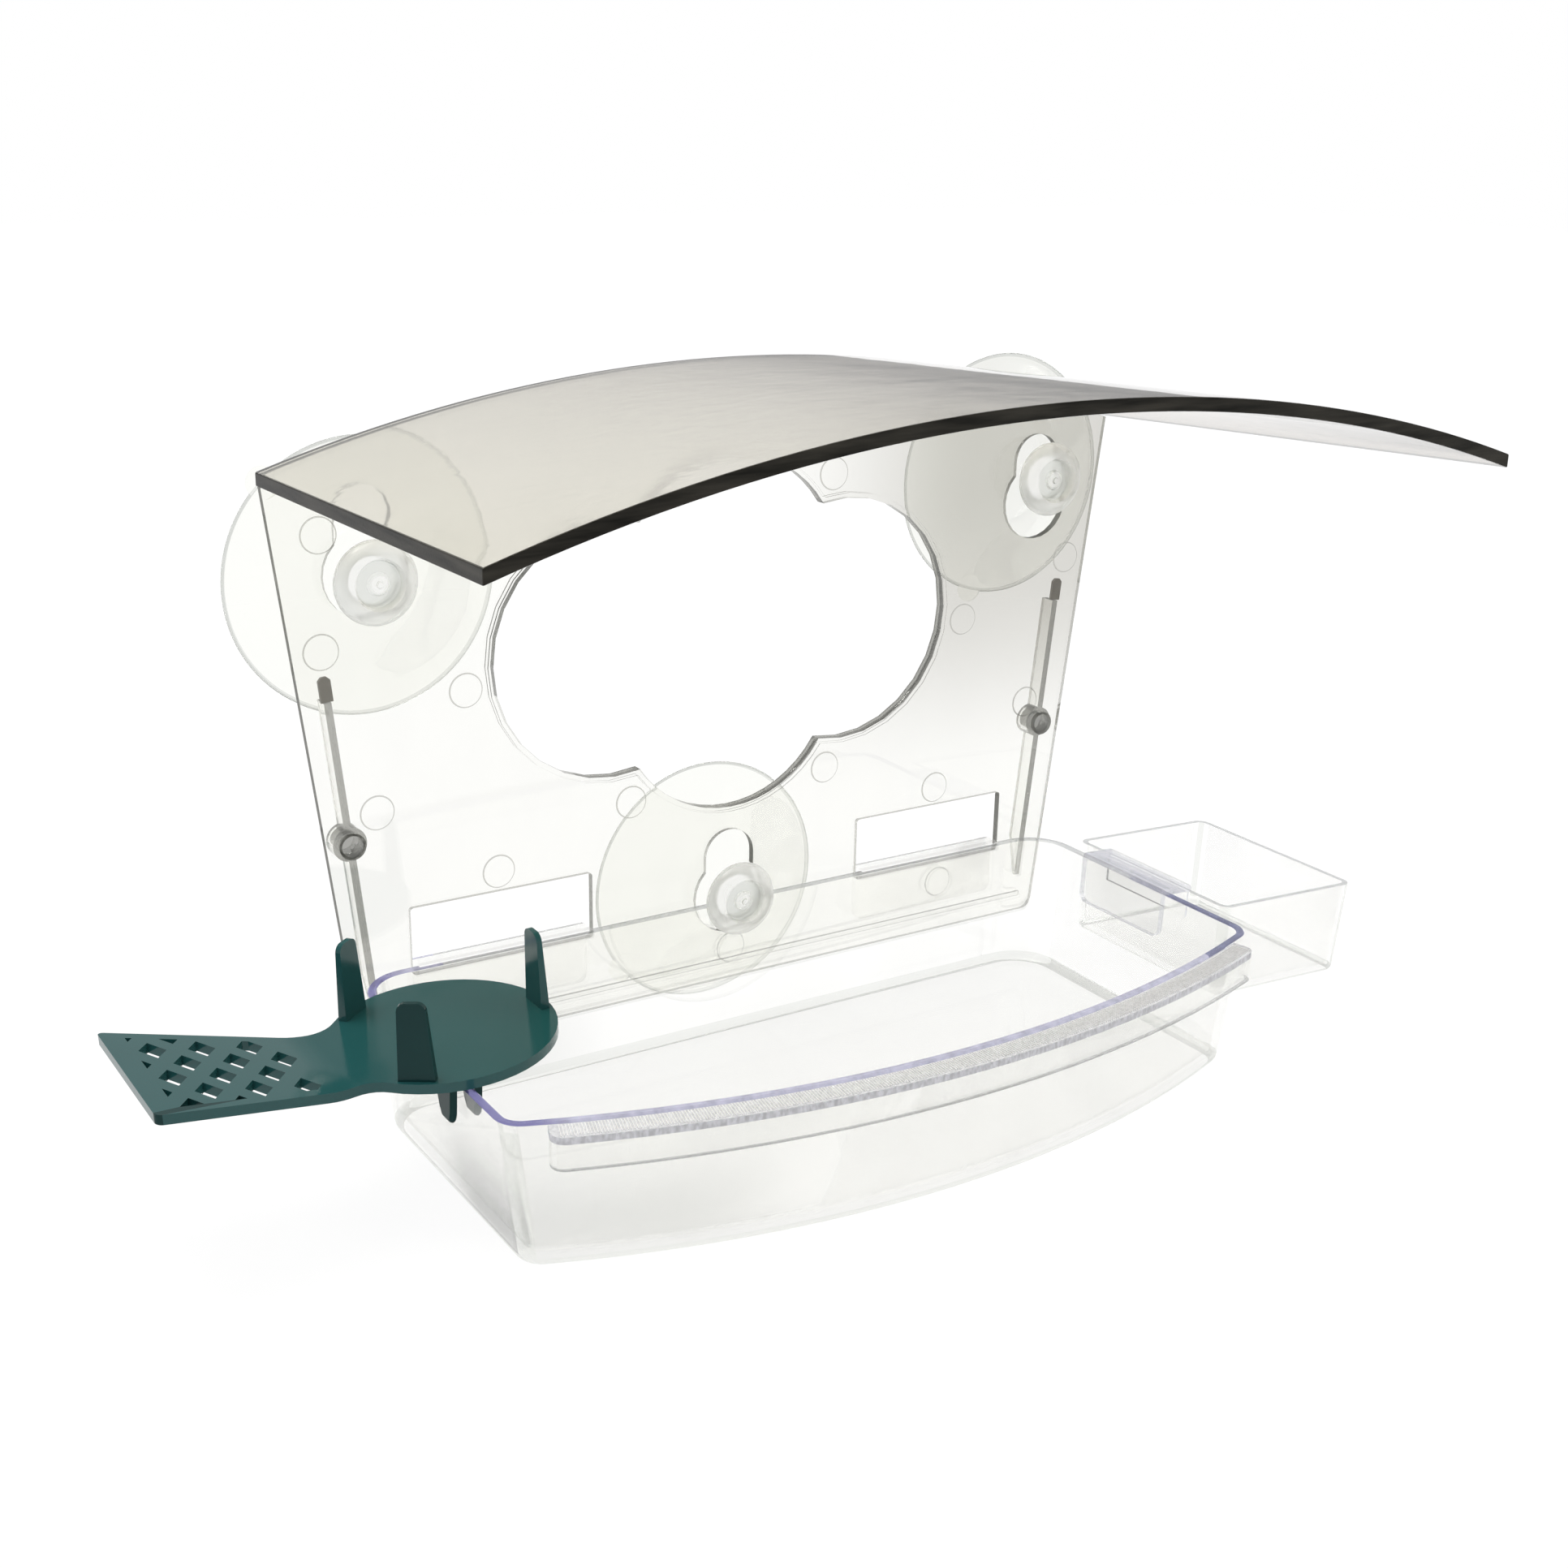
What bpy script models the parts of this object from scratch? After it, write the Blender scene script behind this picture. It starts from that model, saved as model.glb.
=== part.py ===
"""Window bird feeder.

A clear panel hangs on the window glass by three suction cups that sit in its keyholes. It carries
an arched smoked roof. A seed tray hooks into two slots of the panel, and a small side cup and a
fruit holder with a lattice perch hang on the tray's side walls.

Metres, +Z up. The glass is the plane y = 0 and the room's outside is towards -Y. The origin is the
point of the glass on the lower suction cup's axis.
"""

from math import acos, asin, atan2, cos, pi, radians, sin, sqrt, tan

import bmesh
import bpy
from mathutils import Vector

MM = 0.001

# Clearances and joints between pieces
GAP = 0.3 * MM
WELD = 0.8 * MM
OVERRUN = 3.0 * MM

# Back panel
CUP_REACH = 13.4 * MM
PANEL_THICK = 2.4 * MM
PANEL_BOTTOM_WIDTH = 248.6 * MM
PANEL_TOP_WIDTH = 290.8 * MM
PANEL_CORNER_RADIUS = 4.0 * MM
PANEL_RIB_HEIGHT = 4.7 * MM
PANEL_RIB_INSET = 4.5 * MM
PANEL_RIB_WIDTH = 1.6 * MM
PANEL_RIB_DEPTH = 0.8 * MM

# Cloud-shaped opening in the panel, four round lobes with a bead round them
CLOUD_KEY_CLEARANCE = 7.85 * MM
CLOUD_TOP_BORDER = 24.9 * MM
CLOUD_SIDE_OFFSET = 41.1 * MM
CLOUD_SIDE_RADIUS = 39.1 * MM
CLOUD_END_RADIUS = 38.7 * MM
CLOUD_LOWER_DROP = 17.0 * MM
BEAD_WIDTH = 1.6 * MM
BEAD_PROUD = 0.6 * MM

# Keyholes, and where each cup stands above its keyhole's wide centre
KEY_WIDE_RADIUS = 12.5 * MM
KEY_NARROW_RADIUS = 8.75 * MM
KEY_RISE = 13.5 * MM
UPPER_KEY_INSET = 28.6 * MM
UPPER_KEY_DROP = 30.0 * MM
LOWER_KEY_HEIGHT = 29.0 * MM
LOWER_CUP_RISE = 1.0 * MM
LEFT_CUP_RISE = -1.0 * MM
RIGHT_CUP_RISE = 8.4 * MM

# Slots for the tray's hooks
SLOT_EDGE_INSET = 16.0 * MM
SLOT_LENGTH = 59.3 * MM
SLOT_BOTTOM_HEIGHT = 24.6 * MM
SLOT_HEIGHT = 21.2 * MM
SLOT_CORNER_RADIUS = 1.0 * MM

# Rails behind the panel's sides, their pins and caps
RAIL_TOP_DROP = 28.0 * MM
RAIL_BOTTOM_HEIGHT = 12.7 * MM
RAIL_TOP_INSET = 8.5 * MM
RAIL_BOTTOM_INSET = 6.6 * MM
RAIL_WIDTH = 2.2 * MM
RAIL_DEPTH = 5.5 * MM
RAIL_WEDGE_LENGTH = 13.0 * MM
RAIL_TOE_DEPTH = 1.0 * MM
RAIL_EYE_RADIUS = 5.1 * MM
PIN_HEIGHT = 68.2 * MM
PIN_RADIUS = 3.2 * MM
PIN_HEAD_RADIUS = 4.0 * MM
PIN_HEAD_THICK = 0.8 * MM
PIN_DIMPLE_RADIUS = 0.8 * MM
PIN_DIMPLE_DEPTH = 0.4 * MM
CAP_LENGTH = 7.3 * MM
CAP_WIDTH = 3.6 * MM
CAP_CHAMFER = 1.0 * MM
CAP_THICK = 1.0 * MM

# Roof
ROOF_CORNER_HEIGHT = 176.2 * MM
ROOF_THICK = 3.6 * MM
ROOF_DEPTH = 160.3 * MM
ROOF_BACK_RISE = 22.9 * MM
ROOF_FRONT_WIDTH = 305.0 * MM
ROOF_FRONT_RISE = 23.8 * MM
ROOF_FRONT_LIFT = 6.9 * MM
ROOF_EDGE_ROUND = 0.4 * MM

# Seed tray
TRAY_RIM_WIDTH = 255.0 * MM
TRAY_SIDE_DRAFT = 6.0 * MM
TRAY_DEPTH = 44.0 * MM
TRAY_BACK_CLEARANCE = 0.6 * MM
TRAY_BACK_DRAFT = 2.5 * MM
TRAY_SIDE_LENGTH = 103.0 * MM
TRAY_CORNER_DRAFT = 1.8 * MM
TRAY_BOW = 24.4 * MM
TRAY_FRONT_DRAFT = 2.5 * MM
TRAY_WALL = 2.5 * MM
TRAY_FLOOR = 2.5 * MM
TRAY_BACK_RADIUS = 15.0 * MM
TRAY_FRONT_RADIUS = 8.0 * MM
TRAY_FLOOR_RADIUS = 3.0 * MM
TRAY_LIP_ROUND = 0.5 * MM
TRAY_LIFT = 7.0 * MM
NOTCH_SIDE_CLEARANCE = 1.1 * MM

# Perch ledge and skirt along the tray's bow
LEDGE_INSET = 8.0 * MM
LEDGE_REACH = 7.5 * MM
LEDGE_THICK = 2.0 * MM
LEDGE_DROP = 0.7 * MM
LEDGE_CORNER_RADIUS = 4.0 * MM
SKIRT_DEPTH = 9.5 * MM
SKIRT_THICK = 1.5 * MM

# Hooks at the tray's back
HOOK_SIDE_CLEARANCE = 1.3 * MM
HOOK_THICK = 3.4 * MM
HOOK_PROUD = 0.4 * MM
HOOK_TAB_CLEARANCE = 0.4 * MM
HOOK_TAB_THICK = 2.2 * MM
HOOK_TAB_DROP = 18.7 * MM
HOOK_TAB_RADIUS = 3.0 * MM

# Side cup on the tray's right wall
SIDE_CUP_SETBACK = 50.0 * MM
SIDE_CUP_LENGTH = 72.8 * MM
SIDE_CUP_WIDTH = 58.5 * MM
SIDE_CUP_DEPTH = 31.6 * MM
SIDE_CUP_DRAFT = 1.2 * MM
SIDE_CUP_WALL = 1.8 * MM
SIDE_CUP_CORNER_RADIUS = 4.0 * MM
SIDE_CUP_FLOOR_RADIUS = 2.0 * MM
SIDE_CUP_STANDOFF = 6.0 * MM
SIDE_CUP_RIM_DROP = 0.2 * MM
SIDE_CUP_TILT = radians(2.5)
SADDLE_WIDTH = 39.0 * MM
SADDLE_THICK = 2.3 * MM
SADDLE_LEG = 9.0 * MM
SADDLE_LEG_PROUD = 0.6 * MM
SADDLE_TAB_THICK = 2.0 * MM
SADDLE_TAB_DROP = 14.5 * MM
SADDLE_TAB_RADIUS = 3.0 * MM

# Fruit holder on the tray's left wall
HOLDER_SETBACK = 51.2 * MM
HOLDER_TILT = radians(2.8)
DISC_RADIUS = 31.2 * MM
DISC_THICK = 2.8 * MM
DISC_INSET = 6.8 * MM
BLADE_RING_RADIUS = 28.5 * MM
BLADE_BASE_WIDTH = 10.0 * MM
BLADE_TOP_WIDTH = 7.5 * MM
BLADE_BASE_THICK = 2.5 * MM
BLADE_TOP_THICK = 1.5 * MM
BLADE_HEIGHT = 22.0 * MM
BLADE_TOP_RADIUS = 2.4 * MM
BLADE_SPREAD = radians(126.0)
PRONG_LENGTH = 14.0 * MM
PRONG_WIDTH = 10.5 * MM
PRONG_THICK = 2.1 * MM
PRONG_OFFSET = 21.8 * MM
PRONG_RADIUS = 2.0 * MM
PERCH_REACH = 84.1 * MM
PERCH_INNER_WIDTH = 37.6 * MM
PERCH_OUTER_WIDTH = 52.8 * MM
PERCH_BEND_LENGTH = 8.0 * MM
PERCH_RISE = radians(14.3)
PERCH_FILLET = 9.0 * MM
PERCH_CORNER_RADIUS = 1.5 * MM
LATTICE_PITCH = 12.4 * MM
LATTICE_SPREAD = 17.7 * MM
LATTICE_HOLE_SHARE = 0.57
LATTICE_FIRST = 10.5 * MM
LATTICE_SIDE_BORDER = 3.2 * MM
LATTICE_END_BORDER = 6.0 * MM
LATTICE_LEAST_SHARE = 0.06

# Suction cups, turned about the axis that is square to the glass
LIP_RADIUS = 40.0 * MM
LIP_LAND = 2.5 * MM
LIP_THICK = 0.9 * MM
DOME_THICK = 2.6 * MM
DOME_ROUND = 2.0 * MM
SEAT_RADIUS = 13.2 * MM
NECK_RADIUS = 6.9 * MM
NECK_LENGTH = 7.6 * MM
HEAD_RADIUS = 12.1 * MM
HEAD_THICK = 5.6 * MM
HEAD_DISH_RADIUS = 8.6 * MM
HEAD_DISH_DEPTH = 1.2 * MM
HEAD_RING_RADIUS = 6.9 * MM
HEAD_NUB_RADIUS = 2.8 * MM
PULL_TAB_RADIUS = 4.6 * MM
PULL_TAB_REACH = 3.9 * MM
LEFT_TAB_TURN = radians(133.0)
RIGHT_TAB_TURN = radians(-107.0)
LOWER_TAB_TURN = radians(-142.0)

# Smoothness, as counts of steps
ROOF_STEPS = 44
LOBE_STEPS = 16
ROUND_STEPS = 40
KEY_STEPS = 18
CORNER_STEPS = 5
BACK_CORNER_STEPS = 9
BOW_STEPS = 22
BEND_STEPS = 4

# Places worked out from the sizes above
PANEL_BACK_Y = -CUP_REACH
PANEL_FRONT_Y = PANEL_BACK_Y - PANEL_THICK
PANEL_BOTTOM_Z = -(LOWER_KEY_HEIGHT + LOWER_CUP_RISE)
ROOF_CORNER_Z = PANEL_BOTTOM_Z + ROOF_CORNER_HEIGHT
UPPER_KEY_X = PANEL_TOP_WIDTH / 2 - UPPER_KEY_INSET
UPPER_KEY_Z = ROOF_CORNER_Z - UPPER_KEY_DROP
LOWER_KEY_Z = PANEL_BOTTOM_Z + LOWER_KEY_HEIGHT
CLOUD_BOTTOM_Z = LOWER_KEY_Z + KEY_RISE + KEY_NARROW_RADIUS + CLOUD_KEY_CLEARANCE
CLOUD_Z = CLOUD_BOTTOM_Z + CLOUD_END_RADIUS + CLOUD_LOWER_DROP
CLOUD_TOP_Z = ROOF_CORNER_Z + ROOF_BACK_RISE - ROOF_THICK - GAP - CLOUD_TOP_BORDER
CLOUD_UPPER_RISE = CLOUD_TOP_Z - CLOUD_END_RADIUS - CLOUD_Z
SLOT_INNER = PANEL_BOTTOM_WIDTH / 2 - SLOT_EDGE_INSET - SLOT_LENGTH
SLOT_BOTTOM_Z = PANEL_BOTTOM_Z + SLOT_BOTTOM_HEIGHT
TRAY_RIM_Z = SLOT_BOTTOM_Z + GAP + HOOK_THICK - HOOK_PROUD
TRAY_HALF = TRAY_RIM_WIDTH / 2


def clear_scene():
    """Remove what the scene holds."""
    for item in list(bpy.data.objects):
        bpy.data.objects.remove(item, do_unlink=True)


def plastic(name, colour, roughness, alpha=1.0):
    """A Principled material in the piece's colour."""
    material = bpy.data.materials.new(name)
    material.use_nodes = True
    shader = material.node_tree.nodes["Principled BSDF"]
    shader.inputs["Base Color"].default_value = (*colour, 1.0)
    shader.inputs["Roughness"].default_value = roughness
    shader.inputs["Metallic"].default_value = 0.0
    shader.inputs["Alpha"].default_value = alpha
    material.diffuse_color = (*colour, alpha)
    return material


def clear_plastic(node):
    """Clear rigid plastic for one node."""
    return plastic(node + "_clear", (0.90, 0.92, 0.92), 0.08, 0.35)


def arc(centre, radius, start, end, steps):
    """Points of an arc from one angle to another, both ends included."""
    points = []
    for step in range(steps + 1):
        angle = start + (end - start) * step / steps
        points.append(Vector((centre[0] + radius * cos(angle), centre[1] + radius * sin(angle))))
    return points


def fillet(before, corner, after, radius, steps=CORNER_STEPS):
    """Points of the arc that rounds a corner between its two neighbours."""
    before, corner, after = Vector(before), Vector(corner), Vector(after)
    to_before = (before - corner).normalized()
    to_after = (after - corner).normalized()
    half = to_before.angle(to_after) / 2
    centre = corner + (to_before + to_after).normalized() * radius / sin(half)
    first = corner + to_before * radius / tan(half) - centre
    last = corner + to_after * radius / tan(half) - centre
    start = atan2(first.y, first.x)
    sweep = (atan2(last.y, last.x) - start + pi) % (2 * pi) - pi
    return arc(centre, radius, start, start + sweep, steps)


def rounded(corners, radii, steps=CORNER_STEPS):
    """A closed outline whose corners are rounded, each by its own radius."""
    points = []
    count = len(corners)
    for index, corner in enumerate(corners):
        if radii[index] > 0:
            before = corners[index - 1]
            after = corners[(index + 1) % count]
            points.extend(fillet(before, corner, after, radii[index], steps))
        else:
            points.append(Vector(corner))
    return points


def new_object(name, bm, finish=None):
    """Turn a bmesh into a named object, with its faces outwards."""
    bmesh.ops.recalc_face_normals(bm, faces=bm.faces)
    mesh = bpy.data.meshes.new(name)
    bm.to_mesh(mesh)
    bm.free()
    item = bpy.data.objects.new(name, mesh)
    bpy.context.scene.collection.objects.link(item)
    if finish:
        mesh.materials.append(finish)
    mesh.shade_smooth()
    mesh.set_sharp_from_angle(angle=radians(35.0))
    return item


def combine(target, bm, operation, name):
    """Join a solid to the target or cut it out, in the target's own frame."""
    tool = new_object(name, bm)
    tool.parent = target
    tool.hide_render = True
    tool.display_type = "WIRE"
    modifier = target.modifiers.new(name, "BOOLEAN")
    modifier.operation = operation
    modifier.solver = "EXACT"
    modifier.object = tool


def loft(rings):
    """A closed solid through rings of equally many points, with flat ends."""
    bm = bmesh.new()
    loops = [[bm.verts.new(point) for point in ring] for ring in rings]
    for lower, upper in zip(loops, loops[1:]):
        for index in range(len(lower)):
            bm.faces.new((lower[index - 1], lower[index], upper[index], upper[index - 1]))
    bm.faces.new(loops[0])
    bm.faces.new(loops[-1])
    return bm


def place(point, along, depth):
    """A point of a flat outline set at a depth along X, Y or Z."""
    first, second = point
    if along == "X":
        return (depth, first, second)
    if along == "Y":
        return (first, depth, second)
    return (first, second, depth)


def prism(outline, along, start, end, bm=None):
    """An outline extruded along X, Y or Z, into a new bmesh or an open one."""
    bm = bm or bmesh.new()
    face = bm.faces.new([bm.verts.new(place(point, along, start)) for point in outline])
    grown = bmesh.ops.extrude_face_region(bm, geom=[face])["geom"]
    moved = [item for item in grown if isinstance(item, bmesh.types.BMVert)]
    bmesh.ops.translate(bm, verts=moved, vec=place((0, 0), along, end - start))
    return bm


def turned(profile, steps=ROUND_STEPS):
    """A solid of revolution about Y from (radius, y) points, closed by flat ends."""
    bm = bmesh.new()
    line = [bm.verts.new((radius, y, 0)) for radius, y in profile]
    for lower, upper in zip(line, line[1:]):
        bm.edges.new((lower, upper))
    bmesh.ops.spin(
        bm,
        geom=bm.verts[:] + bm.edges[:],
        cent=(0, 0, 0),
        axis=(0, 1, 0),
        angle=2 * pi,
        steps=steps,
        use_merge=True,
    )
    bmesh.ops.holes_fill(bm, edges=bm.edges, sides=0)
    return bm


def box_outline(low, high):
    """Corners of an upright rectangle."""
    return [(low[0], low[1]), (high[0], low[1]), (high[0], high[1]), (low[0], high[1])]


# Back panel


def arch(half_width, rise, corner_z):
    """Centre height and radius of an arch over its corners."""
    radius = (half_width**2 + rise**2) / (2 * rise)
    return corner_z + rise - radius, radius


def arch_z(x, centre_z, radius):
    """Height of an arch at one place across it."""
    return centre_z + sqrt(radius**2 - x**2)


def panel_edge_x(z):
    """Half width of the panel at one height."""
    top = PANEL_TOP_WIDTH / 2
    bottom = PANEL_BOTTOM_WIDTH / 2
    return bottom + (top - bottom) * (z - PANEL_BOTTOM_Z) / ROOF_CORNER_HEIGHT


def panel_outline():
    """Slanted sides, rounded lower corners, and a top edge that follows the roof's underside."""
    centre_z, radius = arch(PANEL_TOP_WIDTH / 2, ROOF_BACK_RISE, ROOF_CORNER_Z)
    radius -= ROOF_THICK + GAP
    corner_z = ROOF_CORNER_Z - ROOF_THICK - GAP
    half = panel_edge_x(corner_z)
    bottom = PANEL_BOTTOM_WIDTH / 2
    low_left = (-bottom, PANEL_BOTTOM_Z)
    low_right = (bottom, PANEL_BOTTOM_Z)
    turn = asin(half / radius)
    top = arc((0, centre_z), radius, pi / 2 - turn, pi / 2 + turn, ROOF_STEPS)
    outline = fillet(top[-1], low_left, low_right, PANEL_CORNER_RADIUS)
    outline += fillet(low_left, low_right, top[0], PANEL_CORNER_RADIUS)
    return outline + top


def outer_crossing(first, second):
    """The crossing of two circles that lies further from the cloud's middle."""
    gap = Vector((second[0] - first[0], second[1] - first[1]))
    span = gap.length
    along = (span**2 + first[2] ** 2 - second[2] ** 2) / (2 * span)
    across = sqrt(first[2] ** 2 - along**2)
    middle = Vector(first[:2]) + gap * along / span
    side = Vector((-gap.y, gap.x)) * across / span
    return max((middle + side, middle - side), key=lambda point: point.length)


def cloud_outline(grow):
    """The cloud's four arcs, grown outwards, about the cloud's middle."""
    right = (CLOUD_SIDE_OFFSET, 0, CLOUD_SIDE_RADIUS + grow)
    upper = (0, CLOUD_UPPER_RISE, CLOUD_END_RADIUS + grow)
    lower = (0, -CLOUD_LOWER_DROP, CLOUD_END_RADIUS + grow)
    high = outer_crossing(right, upper)
    low = outer_crossing(right, lower)
    side_low = atan2(low.y - right[1], low.x - right[0])
    side_high = atan2(high.y - right[1], high.x - right[0])
    top = atan2(high.y - upper[1], high.x)
    foot = atan2(low.y - lower[1], low.x)
    points = arc(right[:2], right[2], side_low, side_high, LOBE_STEPS)[:-1]
    points += arc(upper[:2], upper[2], top, pi - top, LOBE_STEPS)[:-1]
    points += arc((-right[0], 0), right[2], pi - side_high, pi - side_low, LOBE_STEPS)[:-1]
    points += arc(lower[:2], lower[2], -pi - foot, foot, LOBE_STEPS)[:-1]
    return [(point.x, point.y + CLOUD_Z) for point in points]


def keyhole_outline(x, z):
    """A wide round hole with a narrow round-ended slot above it."""
    turn = acos(KEY_NARROW_RADIUS / KEY_WIDE_RADIUS)
    points = arc((x, z), KEY_WIDE_RADIUS, -pi - turn, turn, KEY_STEPS)
    return points + arc((x, z + KEY_RISE), KEY_NARROW_RADIUS, 0, pi, KEY_STEPS)


def rail_line(side):
    """Lower and upper end of a rail's middle line, as (x, z)."""
    low_z = PANEL_BOTTOM_Z + RAIL_BOTTOM_HEIGHT
    high_z = UPPER_KEY_Z - RAIL_TOP_DROP
    low = Vector((side * (panel_edge_x(low_z) - RAIL_BOTTOM_INSET), low_z))
    high = Vector((side * (panel_edge_x(high_z) - RAIL_TOP_INSET), high_z))
    return low, high


def pin_place(side):
    """Where a pin crosses its rail, as (x, z)."""
    low, high = rail_line(side)
    share = (PANEL_BOTTOM_Z + PIN_HEIGHT - low.y) / (high.y - low.y)
    return low + (high - low) * share


def build_back_panel():
    """The clear panel with its bead, rib, cloud, keyholes, slots and pin holes."""
    panel = new_object(
        "back_panel",
        prism(panel_outline(), "Y", PANEL_FRONT_Y, PANEL_BACK_Y),
        clear_plastic("back_panel"),
    )
    bead = prism(cloud_outline(BEAD_WIDTH), "Y", PANEL_FRONT_Y - BEAD_PROUD, PANEL_BACK_Y + BEAD_PROUD)
    combine(panel, bead, "UNION", "panel_bead")
    rib_z = PANEL_BOTTOM_Z + PANEL_RIB_HEIGHT
    rib_x = panel_edge_x(rib_z) - PANEL_RIB_INSET
    rib = prism(
        box_outline((-rib_x, rib_z), (rib_x, rib_z + PANEL_RIB_WIDTH)),
        "Y",
        PANEL_BACK_Y - WELD,
        PANEL_BACK_Y + PANEL_RIB_DEPTH,
    )
    combine(panel, rib, "UNION", "panel_rib")
    start = PANEL_FRONT_Y - BEAD_PROUD - OVERRUN
    end = PANEL_BACK_Y + BEAD_PROUD + OVERRUN
    cuts = prism(cloud_outline(0), "Y", start, end)
    prism(keyhole_outline(-UPPER_KEY_X, UPPER_KEY_Z), "Y", start, end, cuts)
    prism(keyhole_outline(UPPER_KEY_X, UPPER_KEY_Z), "Y", start, end, cuts)
    prism(keyhole_outline(0, LOWER_KEY_Z), "Y", start, end, cuts)
    for side in (-1, 1):
        inner = side * SLOT_INNER
        outer = side * (SLOT_INNER + SLOT_LENGTH)
        corners = box_outline(
            (min(inner, outer), SLOT_BOTTOM_Z),
            (max(inner, outer), SLOT_BOTTOM_Z + SLOT_HEIGHT),
        )
        prism(rounded(corners, [SLOT_CORNER_RADIUS] * 4), "Y", start, end, cuts)
        hole = arc(pin_place(side), PIN_RADIUS + GAP, 0, 2 * pi, ROUND_STEPS)[:-1]
        prism(hole, "Y", start, end, cuts)
    combine(panel, cuts, "DIFFERENCE", "panel_cuts")


# Rails, pins and caps behind the panel


def rail_frame(side):
    """Unit directions along and across a rail, as flat (x, z) vectors."""
    low, high = rail_line(side)
    along = (high - low).normalized()
    return along, Vector((along.y, -along.x))


def rail_ring(side, profile, offset):
    """A rail's side profile, (distance up, depth) points, set off across the rail."""
    low, _ = rail_line(side)
    along, across = rail_frame(side)
    front = PANEL_BACK_Y + GAP
    ring = []
    for up, depth in profile:
        spot = low + along * up + across * offset
        ring.append((spot.x, front + depth, spot.y))
    return ring


def build_rails():
    """Both rails, each with a round eye for its pin and a wedge-shaped toe."""
    for side, name in ((-1, "left"), (1, "right")):
        low, high = rail_line(side)
        length = (high - low).length - CAP_LENGTH - GAP
        profile = [
            (0, 0),
            (length, 0),
            (length, RAIL_DEPTH),
            (RAIL_WEDGE_LENGTH, RAIL_DEPTH),
            (0, RAIL_TOE_DEPTH),
        ]
        rings = [rail_ring(side, profile, offset) for offset in (-RAIL_WIDTH / 2, RAIL_WIDTH / 2)]
        node = "rail_" + name
        rail = new_object(node, loft(rings), clear_plastic(node))
        front = PANEL_BACK_Y + GAP
        spot = pin_place(side)
        back = front + RAIL_DEPTH
        eye = arc(spot, RAIL_EYE_RADIUS, 0, 2 * pi, ROUND_STEPS)[:-1]
        combine(rail, prism(eye, "Y", front, back), "UNION", node + "_eye")
        bore = arc(spot, PIN_RADIUS + GAP, 0, 2 * pi, ROUND_STEPS)[:-1]
        cut = prism(bore, "Y", front - OVERRUN, back + OVERRUN)
        combine(rail, cut, "DIFFERENCE", node + "_bore")


def build_rail_pins():
    """Round pins, headed in front of the panel, through the panel and the rail's eye."""
    for side, name in ((-1, "left"), (1, "right")):
        node = "rail_pin_" + name
        under_head = -PANEL_THICK - GAP
        face = under_head - PIN_HEAD_THICK
        tail = GAP + RAIL_DEPTH
        profile = [
            (PIN_DIMPLE_RADIUS / 2, face + PIN_DIMPLE_DEPTH),
            (PIN_DIMPLE_RADIUS, face),
            (PIN_RADIUS, face),
            (PIN_HEAD_RADIUS, face + PIN_HEAD_THICK / 2),
            (PIN_HEAD_RADIUS, under_head),
            (PIN_RADIUS, under_head),
            (PIN_RADIUS, tail),
        ]
        pin = new_object(node, turned(profile), clear_plastic(node))
        spot = pin_place(side)
        pin.location = (spot.x, PANEL_BACK_Y, spot.y)


def build_rail_caps():
    """Thin dark pads on the panel's back, each just above its rail's upper end."""
    half = CAP_WIDTH / 2
    outline = [
        (CAP_LENGTH, -half),
        (CAP_LENGTH, half),
        (CAP_CHAMFER, half),
        (0, half - CAP_CHAMFER),
        (0, CAP_CHAMFER - half),
        (CAP_CHAMFER, -half),
    ]
    front = PANEL_BACK_Y + GAP
    for side, name in ((-1, "left"), (1, "right")):
        node = "rail_cap_" + name
        finish = plastic(node + "_grey", (0.16, 0.15, 0.13), 0.6)
        _, high = rail_line(side)
        along, across = rail_frame(side)
        spots = [high - along * down + across * sideways for down, sideways in outline]
        new_object(node, prism(spots, "Y", front, front + CAP_THICK), finish)


# Roof


def build_roof():
    """An arched sheet, a little wider, higher and more arched at its front."""
    back = arch(PANEL_TOP_WIDTH / 2, ROOF_BACK_RISE, ROOF_CORNER_Z)
    front = arch(ROOF_FRONT_WIDTH / 2, ROOF_FRONT_RISE, ROOF_CORNER_Z + ROOF_FRONT_LIFT)
    back_turn = asin(PANEL_TOP_WIDTH / 2 / back[1])
    front_turn = asin(ROOF_FRONT_WIDTH / 2 / front[1])
    front_y = PANEL_BACK_Y - ROOF_DEPTH
    stations = []
    for step in range(ROOF_STEPS + 1):
        place_share = 2 * step / ROOF_STEPS - 1
        back_x = back[1] * sin(back_turn * place_share)
        front_x = front[1] * sin(front_turn * place_share)
        stations.append(
            [
                (back_x, PANEL_BACK_Y, arch_z(back_x, back[0], back[1])),
                (front_x, front_y, arch_z(front_x, front[0], front[1])),
                (front_x, front_y, arch_z(front_x, front[0], front[1] - ROOF_THICK)),
                (back_x, PANEL_BACK_Y, arch_z(back_x, back[0], back[1] - ROOF_THICK)),
            ]
        )
    roof = new_object("roof", loft(stations), plastic("roof_smoked", (0.30, 0.29, 0.28), 0.1, 0.5))
    bevel = roof.modifiers.new("edge_round", "BEVEL")
    bevel.width = ROOF_EDGE_ROUND
    bevel.segments = 2
    bevel.limit_method = "ANGLE"
    bevel.angle_limit = radians(40.0)


# Seed tray, in a frame at the middle of its rim, on the panel's front face


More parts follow.
